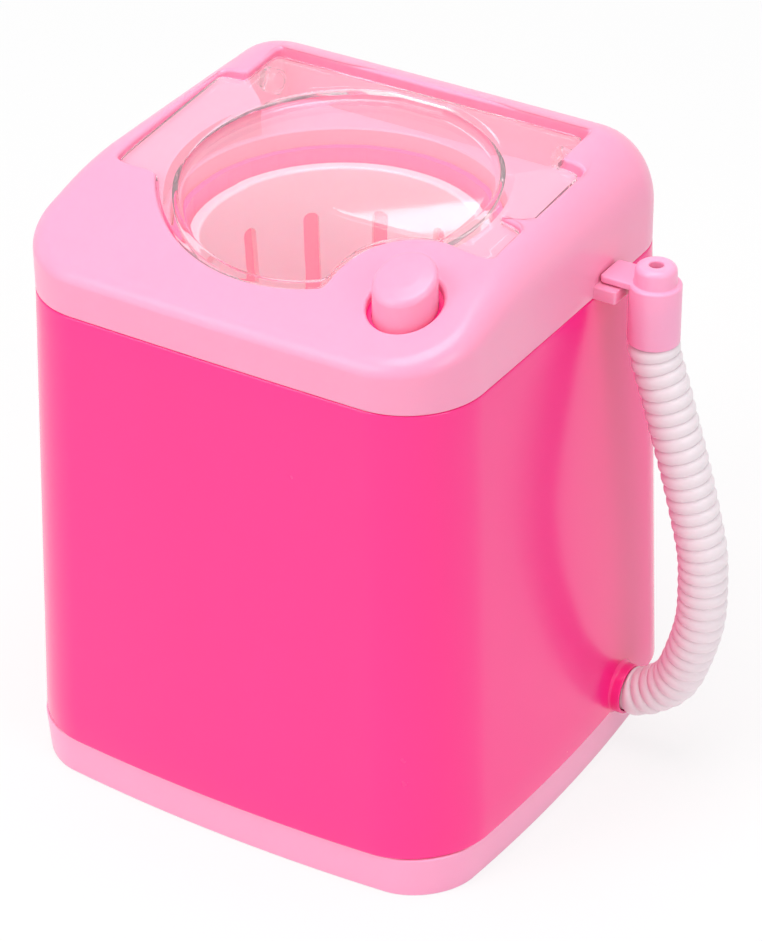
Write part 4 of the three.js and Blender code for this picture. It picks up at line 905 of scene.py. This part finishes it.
class WASHER_OT_base(bpy.types.Operator):
    """Add the pale base with its door pocket, and the cross-head screws under it"""

    bl_idname = "washer.base"
    bl_label = "Base"

    def execute(self, context):
        top = context.scene.washer_sizes.base_height
        foot_edge, top_edge = BASE_EDGES
        inset, rise = quarter()
        step = 0.3 * MM
        insets = np.concatenate([
            foot_edge * inset, [0, 0], top_edge * inset[::-1], [BASE_WALL - step], np.full(3, BASE_WALL),
        ])
        heights = np.concatenate([
            foot_edge * rise, [0.35 * top, 0.7 * top], top - top_edge * rise[::-1],
            [top, top - step, 0.5 * top, BASE_FLOOR],
        ])
        plans = tapered(FOOT_HALF, BASE_CORNERS, BASE_TOP_HALF, BASE_CORNERS, insets, heights / top)
        ends = np.array([0, 0.5])[:, None, None]
        plans = np.concatenate([plans[:1] * ends, plans, plans[-1:] * ends[::-1]])
        heights = np.concatenate([[0, 0], heights, [BASE_FLOOR, BASE_FLOOR]])
        base = surface("base", levelled(plans, heights))

        low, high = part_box("battery_door")
        gap, edge, deep = 0.3 * MM, 0.05 * MM, -2 * MM
        roof = high.z + 0.15 * MM
        middle, half = (low.y + high.y) / 2, 4.3 * MM
        pocket_low, pocket_high = (-high.x - gap, low.y - gap, deep), (high.x + gap, high.y + gap, roof)
        tongue_low, tongue_high = (low.x - gap, middle - half, deep), (-high.x + 3 * MM, middle + half, roof)
        pocket = block("pocket", pocket_low, pocket_high, gap, edge, 2)
        combined(pocket, block("tongue", tongue_low, tongue_high, gap, edge, 2), "UNION")
        combined(base, pocket)
        names = [f"base_screw_{number}" for number in (1, 2, 3, 4)]
        for name in names:
            at, head, _, _ = screw_sizes(name)
            sink = head + SINK_GAP
            profile = rounded([(0, -1 * MM, 0), (sink, -1 * MM, 0), (sink, SINK_DEPTH, 0.1 * MM), (0, SINK_DEPTH, 0)])
            combined(base, surface("sink", turned(profile, at, 48)))
        combined(base, bars_along_x("bore", PORT_BORE + gap, [(40 * MM, 60 * MM)], PORT[1:]))
        # The base's pink is painted lighter, to offset the shade near the floor
        dress(base, "housing", "pale_pink", "base_pan", look="paler_pink")

        for name in names + ["battery_door_screw"]:
            at, head, foot, tip = screw_sizes(name)
            profile = rounded([
                (0, foot, 0), (head * 0.8, foot + 0.05 * MM, 0.2 * MM), (head, foot + 0.7 * MM, 0.3 * MM),
                (head, foot + HEAD_THICK, 0.05 * MM), (SHANK_RADIUS, foot + HEAD_THICK, 0.05 * MM),
                (SHANK_RADIUS, tip, 0.1 * MM), (0, tip, 0),
            ])
            screw = surface(name + "_head", turned(profile, at, 48))
            for half in (CROSS_HALF, CROSS_HALF[::-1]):
                low, high = (*(at - half), foot - 1 * MM), (*(at + half), foot + 0.8 * MM)
                combined(screw, block("slot", low, high, 0.1 * MM, edge, 2))
            dress(screw, "housing", "steel", name)
        return {"FINISHED"}


class WASHER_OT_cover(bpy.types.Operator):
    """Add the pale cover with its lid recess, the button's hole with its pink ring, and the clip block"""

    bl_idname = "washer.cover"
    bl_label = "Cover"

    def execute(self, context):
        sizes = context.scene.washer_sizes
        total, foot, lip_round = sizes.total_height, sizes.band_height, sizes.lip_round
        line, way = case_line(BODY_TOP_HALF, BODY_TOP_CORNERS)
        rearward = np.clip(0.5 + line[:, 1] / (2 * BODY_TOP_HALF[1]), 0, 1)
        round_inset = (ROUND_INSET[0] + (ROUND_INSET[1] - ROUND_INSET[0]) * rearward)[:, None]
        round_drop = ROUND_DROP[0] + (ROUND_DROP[1] - ROUND_DROP[0]) * rearward
        deck_height = total - DECK_DROP

        def set_in(inset):
            return bowed(line - inset * way, BODY_TOP_HALF)

        def top(plan):
            return top_height(plan[:, 1], total)

        def ledge(plan):
            return top(plan) - LEDGE_DROP

        def deck(plan):
            return np.minimum(ledge(plan) - 0.35 * MM, deck_height)

        def under(plan):
            return np.minimum(deck_height - COVER_WALL, deck(plan) - 1.0 * MM)

        # Up the outside and over the rounded edge to the recess
        rings = [at_height(set_in(COVER_EDGE * inset), foot + COVER_EDGE * rise) for inset, rise in zip(*quarter(5))]
        side = set_in(0)
        low = foot + COVER_EDGE
        shoulder = top(side) - round_drop
        rings += [at_height(side, low + share * (shoulder - low)) for share in np.linspace(0, 1, 8)[1:-1]]
        recess, recess_reach, ray = recess_line(0.0, 0.0, BLOCK_FRONT, WELL_REAR)
        end = recess + outward(recess) * lip_round
        room = np.linalg.norm(side - end, axis=1)[:, None] - 0.3 * MM
        last = np.arccos(np.clip(1 - room / round_inset, 0, 1))
        for share in np.linspace(0, 1, 18):
            plan = set_in(round_inset * (1 - np.cos(last * share)))
            fall = round_drop * (1 - np.sin(last * share))[:, 0]
            rings.append(at_height(plan, top(plan) - fall))
        rings += between(plan, end, 28, lambda points: top(points) - fall)[1:-1]
        for inset, rise in zip(*quarter()):
            plan = recess + outward(recess) * lip_round * inset
            rings.append(at_height(plan, top(plan) - lip_round * rise - fall))

        # Down to the ledge, the well's deck and the basket's mouth with its hanging lip
        rings.append(at_height(recess, ledge(recess) + 0.3 * MM))
        _, round_reach = round_line(WELL_RADIUS, BOSS_RADIUS, FAR)
        rear = leaving_box(ray, (-WELL_HALF, -FAR), (WELL_HALF, WELL_REAR))
        rear = np.where(ray[:, 1] * rear + AXIS[1] > BLOCK_FRONT, rear, 0)
        well_reach = np.minimum(eased(np.maximum(round_reach, rear), 2), recess_reach - 0.05 * MM)
        well = AXIS + ray * well_reach[:, None]
        shelf = recess - outward(recess) * 0.03 * MM
        rings += between(shelf, well + (shelf - well) * 0.1, 8, ledge)
        rings.append(at_height(well, ledge(well) - 0.1 * MM))
        rings.append(at_height(well, np.maximum(deck(well), ledge(well) - 1.2 * MM)))
        rings.append(at_height(well, deck(well)))
        mouth, mouth_reach = round_line(MOUTH_RADIUS, BOSS_RADIUS, well_reach - MOUTH_STEP)
        rings += between(well - ray * 0.1 * MM, mouth + ray * 0.3 * MM, 6, deck)
        rings.append(at_height(mouth, deck(mouth) - 0.3 * MM))
        hang = LIP_FOOT - LIP_DROP * np.clip((mouth_reach - LIP_LOW_FROM) / (0.2 * MM), 0, 1)
        beside = mouth + ray * MOUTH_LIP
        rings += [at_height(mouth, hang), at_height(beside, hang), at_height(beside, under(beside))]

        # Back along the underside and down the inside of the skirt
        inner = set_in(SKIRT_WALL)
        low = np.minimum(deck_height - COVER_WALL, top(inner) - 4.5 * MM)
        for share in (0.35, 0.7, 1.0):
            rings.append(at_height(beside + share * (inner - beside), under(beside) + share * (low - under(beside))))
        rings.append(at_height(inner, foot))
        cover = surface("cover", np.array(rings), closed=True)

        turn = np.linspace(0, math.radians(80), 8)
        radius = np.concatenate([
            [0, HOLE_RADIUS, HOLE_RADIUS], HOLE_RADIUS + FLARE * (1 - np.cos(turn)), [HOLE_RADIUS + FLARE * 1.6, 0],
        ])
        depth = np.concatenate([[0, 0, -4 * MM], -FLARE * (1 - np.sin(turn)), [3 * MM, 3 * MM]])
        hole = turned(np.column_stack([radius, depth]), BUTTON)
        hole[..., 2] += top_height(hole[..., 1], total)
        hole[:2, :, 2] = HOLE_FOOT
        combined(cover, surface("hole", hole))
        inside, outside = sizes.button_radius + 0.08 * MM, HOLE_RADIUS + 0.15 * MM
        ring = turned(rectangle((inside, -RING_DEPTHS[0]), (outside, -RING_DEPTHS[1]), 0), BUTTON)
        ring[..., 2] += top_height(ring[..., 1], total)
        dress(surface("button_ring", ring, closed=True), "housing", "hot_pink")
        combined(cover, bars_along_x("pin_holes", PIN_HOLE_RADIUS, both_sides(34.5 * MM, 38 * MM), HINGE))
        dress(cover, "housing", "pale_pink", "top_cover")

        clip = block("clip_block", CLIP_LOW, CLIP_HIGH, 0.6 * MM, 0.3 * MM)
        combined(clip, bar("bore", PEG, CLIP_BORE, 106 * MM, 111 * MM, 0.1 * MM, 2, 48))
        dress(clip, "housing", "pale_pink")
        return {"FINISHED"}


class WASHER_OT_lid(bpy.types.Operator):
    """Add the clear lid with its round dish, and its two hinge knuckles"""

    bl_idname = "washer.lid"
    bl_label = "Clear lid"

    def execute(self, context):
        sizes = context.scene.washer_sizes
        _, reach, ray = recess_line(-SIDE_GAP, -FRONT_GAP, WING_REAR, LID_REAR)
        boss = BOSS_RADIUS + SIDE_GAP + DISH_WALL
        _, dish = round_line(sizes.dish_radius, boss, reach - DISH_WALL - CREST)
        shell = np.minimum(dish + DISH_WALL, reach - 0.5 * MM)
        floor = LID_DROP + DISH_DEPTH
        deep = floor + DISH_THICK
        plate_foot = LID_DROP + LID_THICK

        def at(distance, drop):
            """Ring at a distance from the basket's axis and a drop below the cover's top."""
            plan = AXIS + ray * distance[:, None]
            return at_height(plan, top_height(plan[:, 1], sizes.total_height) - drop)

        # Under the dish and the plate, round the rim, and back over the plate, the crest and the dish's floor
        below, inner = DISH_CURVES
        rings = [at(shell * share, deep) for share in np.linspace(0, 0.94, 26)]
        rings += [at(shell - below * inset, deep - below * rise) for inset, rise in zip(*quarter(7))]
        rings.append(at(shell, plate_foot + 0.05 * MM))
        rings += [at(shell + (reach - 0.2 * MM - shell) * share, plate_foot) for share in np.linspace(0, 1, 6)[1:]]
        rings += [at(reach, plate_foot - 0.2 * MM), at(reach, LID_DROP + 0.25 * MM)]
        rim, crest = reach - 0.25 * MM, dish + CREST
        rings += [at(reach - 0.08 * MM, LID_DROP + 0.08 * MM), at(rim, LID_DROP)]
        rings += [at(rim + (crest - rim) * share, LID_DROP) for share in np.linspace(0, 1, 6)[1:-1]]
        rings += [at(crest - CREST * (1 - inset), LID_DROP + CREST * rise) for inset, rise in zip(*quarter(8))]
        rings += [at(dish - inner * rise, floor - inner * inset) for inset, rise in zip(*quarter(8))]
        rings += [at((dish - inner) * share, floor) for share in np.linspace(1, 0, 26)[1:]]
        dress(surface("lid_clear", np.array(rings)), "lid", "clear_plastic", "lid")

        side = WELL_HALF - SIDE_GAP
        knuckles = bars_along_x("lid_knuckles", KNUCKLE_RADIUS, both_sides(side - KNUCKLE_WIDTH, side), HINGE)
        combined(knuckles, bars_along_x("pins", PIN_RADIUS, both_sides(side - 1 * MM, PIN_END), HINGE), "UNION")
        dress(knuckles, "lid", "clear_plastic")
        return {"FINISHED"}


class WASHER_OT_basket(bpy.types.Operator):
    """Add the slotted basket and the stirring cone on its floor"""

    bl_idname = "washer.basket"
    bl_label = "Basket"

    def execute(self, context):
        radii = np.array([0, 1.6, 0.6, 0.3, 0.5, 0.6, 3, 0]) * MM
        corners = np.vstack([[0, BASKET_FOOT], BASKET_OUTSIDE, BASKET_INSIDE, [0, BASKET_FLOOR]])
        profile = from_axis(rounded(np.column_stack([corners, radii]), 9))
        steps = [profile[:1]]
        for first, last in zip(profile[:-1], profile[1:]):
            count = max(int(np.linalg.norm(last - first) / (4 * MM)), 1)
            steps.append(first + np.linspace(0, 1, count + 1)[1:, None] * (last - first))
        basket = surface("basket_slotted", turned(np.vstack(steps), AXIS, 192))
        plan = rectangle((-SLOT_HALF, SLOT_SPAN[0]), (SLOT_HALF, SLOT_SPAN[1]), 1.5 * MM)
        form = pad(plan, 20 * MM, 32 * MM, 0.1 * MM, 2)
        across, up, out = form[..., 0], form[..., 1], form[..., 2]
        count = context.scene.washer_sizes.slot_count
        for angle in (np.arange(count) + 0.5) * FULL_TURN / count:
            combined(basket, surface("slot", np.stack([
                AXIS[0] + out * math.cos(angle) - across * math.sin(angle),
                AXIS[1] + out * math.sin(angle) + across * math.cos(angle), up,
            ], axis=-1)))
        dress(basket, "basket", "basket_plastic", "basket")

        # The cone falls by a cosine to a flat rim, and three fins ride on it
        angle = np.linspace(0, FULL_TURN, 180, endpoint=False)
        share = np.concatenate([np.linspace(0, 1, 12), [1.0], np.linspace(1, 0, 48)])[:, None]
        cone = CONE_RIM + (CONE_RISE - CONE_RIM) * (0.5 + 0.5 * np.cos(math.pi * share ** 0.72))
        fin = 0.42 * CONE_RISE * np.sin(math.pi * np.clip((share - 0.12) / 0.86, 0, 1)) ** 0.8
        fin = fin * (0.5 + 0.5 * np.cos(FINS * angle)) ** 16
        height = BASKET_FLOOR + np.maximum(cone, CONE_RIM + fin)
        height[:12] = BASKET_FLOOR
        cone = surface("stirring_cone", np.dstack([AXIS + CONE_REACH * share[..., None] * circle(180), height]))
        dress(cone, "basket", "pale_pink", "pulsator")
        return {"FINISHED"}


class WASHER_OT_button(bpy.types.Operator):
    """Add the push button with its slanted top, and the spring under it"""

    bl_idname = "washer.button"
    bl_label = "Push button"

    def execute(self, context):
        sizes = context.scene.washer_sizes
        radius = sizes.button_radius
        top = sizes.total_height - BUTTON_DROP
        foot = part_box("control_button")[0].z
        flange_foot, flange_top = FLANGE
        profile = from_axis(rounded([
            (0, foot, 0), (STEM_RADIUS, foot, 0.2 * MM), (STEM_RADIUS, flange_foot, 0.1 * MM),
            (FLANGE_RADIUS, flange_foot, 0.2 * MM), (FLANGE_RADIUS, flange_top, 0.2 * MM),
            (radius + 0.02 * MM, flange_top, 0.1 * MM), (radius, top, 1.25 * MM),
            (radius * 0.45, top + 0.3 * MM, 1.5 * MM), (0, top + 0.35 * MM, 0),
        ], 9))
        rings = turned(profile, BUTTON)
        lean = np.clip((rings[..., 2] - flange_top) / (top - flange_top - 1.5 * MM), 0, 1)
        rings[..., 2] += lean * BUTTON_SLOPE * (rings[..., 1] - BUTTON[1])
        dress(surface("button", rings), "button", "pale_pink", "control_button")

        low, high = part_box("button_spring")
        wire = (high.x - low.x) / 2 - SPRING_RADIUS
        share = np.concatenate([[0], np.linspace(0, 1, 241), [1]])[:, None]
        thick = np.full_like(share, wire)
        thick[[0, -1]] = 0
        turn = SPRING_TURNS * FULL_TURN * share
        across, up = circle(16).T
        reach = SPRING_RADIUS + thick * across
        spring = surface("button_coil", np.stack([
            BUTTON[0] + reach * np.cos(turn), BUTTON[1] + reach * np.sin(turn),
            low.z + wire + (high.z - low.z - 2 * wire) * share + thick * up,
        ], axis=-1))
        dress(spring, None, "steel", "button_spring")
        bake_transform(spring)
        return {"FINISHED"}


class WASHER_OT_inner(bpy.types.Operator):
    """Give the kept inner parts their finishes"""

    bl_idname = "washer.inner"
    bl_label = "Inner parts"

    def execute(self, context):
        slots = {part["node"]: part["material_slot"] for part in frame["record"]["subparts"]}
        for name, piece in frame["nodes"].items():
            # The tub takes the finish with the painted glow
            material = finish_of("lit_pink" if name == "tub" else slots[name])
            for place in piece.material_slots:
                place.link = "OBJECT"
                place.material = material
        return {"FINISHED"}


class WASHER_PT_panel(bpy.types.Panel):
    """Sizes, colours and steps of the toy washing machine"""

    bl_label = "Toy washing machine"
    bl_idname = "WASHER_PT_panel"
    bl_space_type = "VIEW_3D"
    bl_region_type = "UI"
    bl_category = "Washer"

    def draw(self, context):
        for group in (context.scene.washer_sizes, context.scene.washer_colours):
            column = self.layout.column(align=True)
            for name in group.bl_rna.properties.keys():
                if name not in {"rna_type", "name"}:
                    column.prop(group, name)
        for step in STEPS:
            self.layout.operator(step.bl_idname)


STEPS = (
    WASHER_OT_stage, WASHER_OT_hose, WASHER_OT_case, WASHER_OT_base, WASHER_OT_cover, WASHER_OT_lid,
    WASHER_OT_basket, WASHER_OT_button, WASHER_OT_inner,
)
CLASSES = (WasherSizes, WasherColours, *STEPS, WASHER_PT_panel)


def register():
    for item in CLASSES:
        bpy.utils.register_class(item)
    bpy.types.Scene.washer_sizes = PointerProperty(type=WasherSizes)
    bpy.types.Scene.washer_colours = PointerProperty(type=WasherColours)


def unregister():
    del bpy.types.Scene.washer_colours
    del bpy.types.Scene.washer_sizes
    for item in reversed(CLASSES):
        bpy.utils.unregister_class(item)


def main():
    register()
    bpy.ops.washer.stage()
    bpy.ops.washer.hose()
    bpy.ops.washer.case()
    bpy.ops.washer.base()
    bpy.ops.washer.cover()
    bpy.ops.washer.lid()
    bpy.ops.washer.basket()
    bpy.ops.washer.button()
    bpy.ops.washer.inner()


if __name__ == "__main__":
    main()
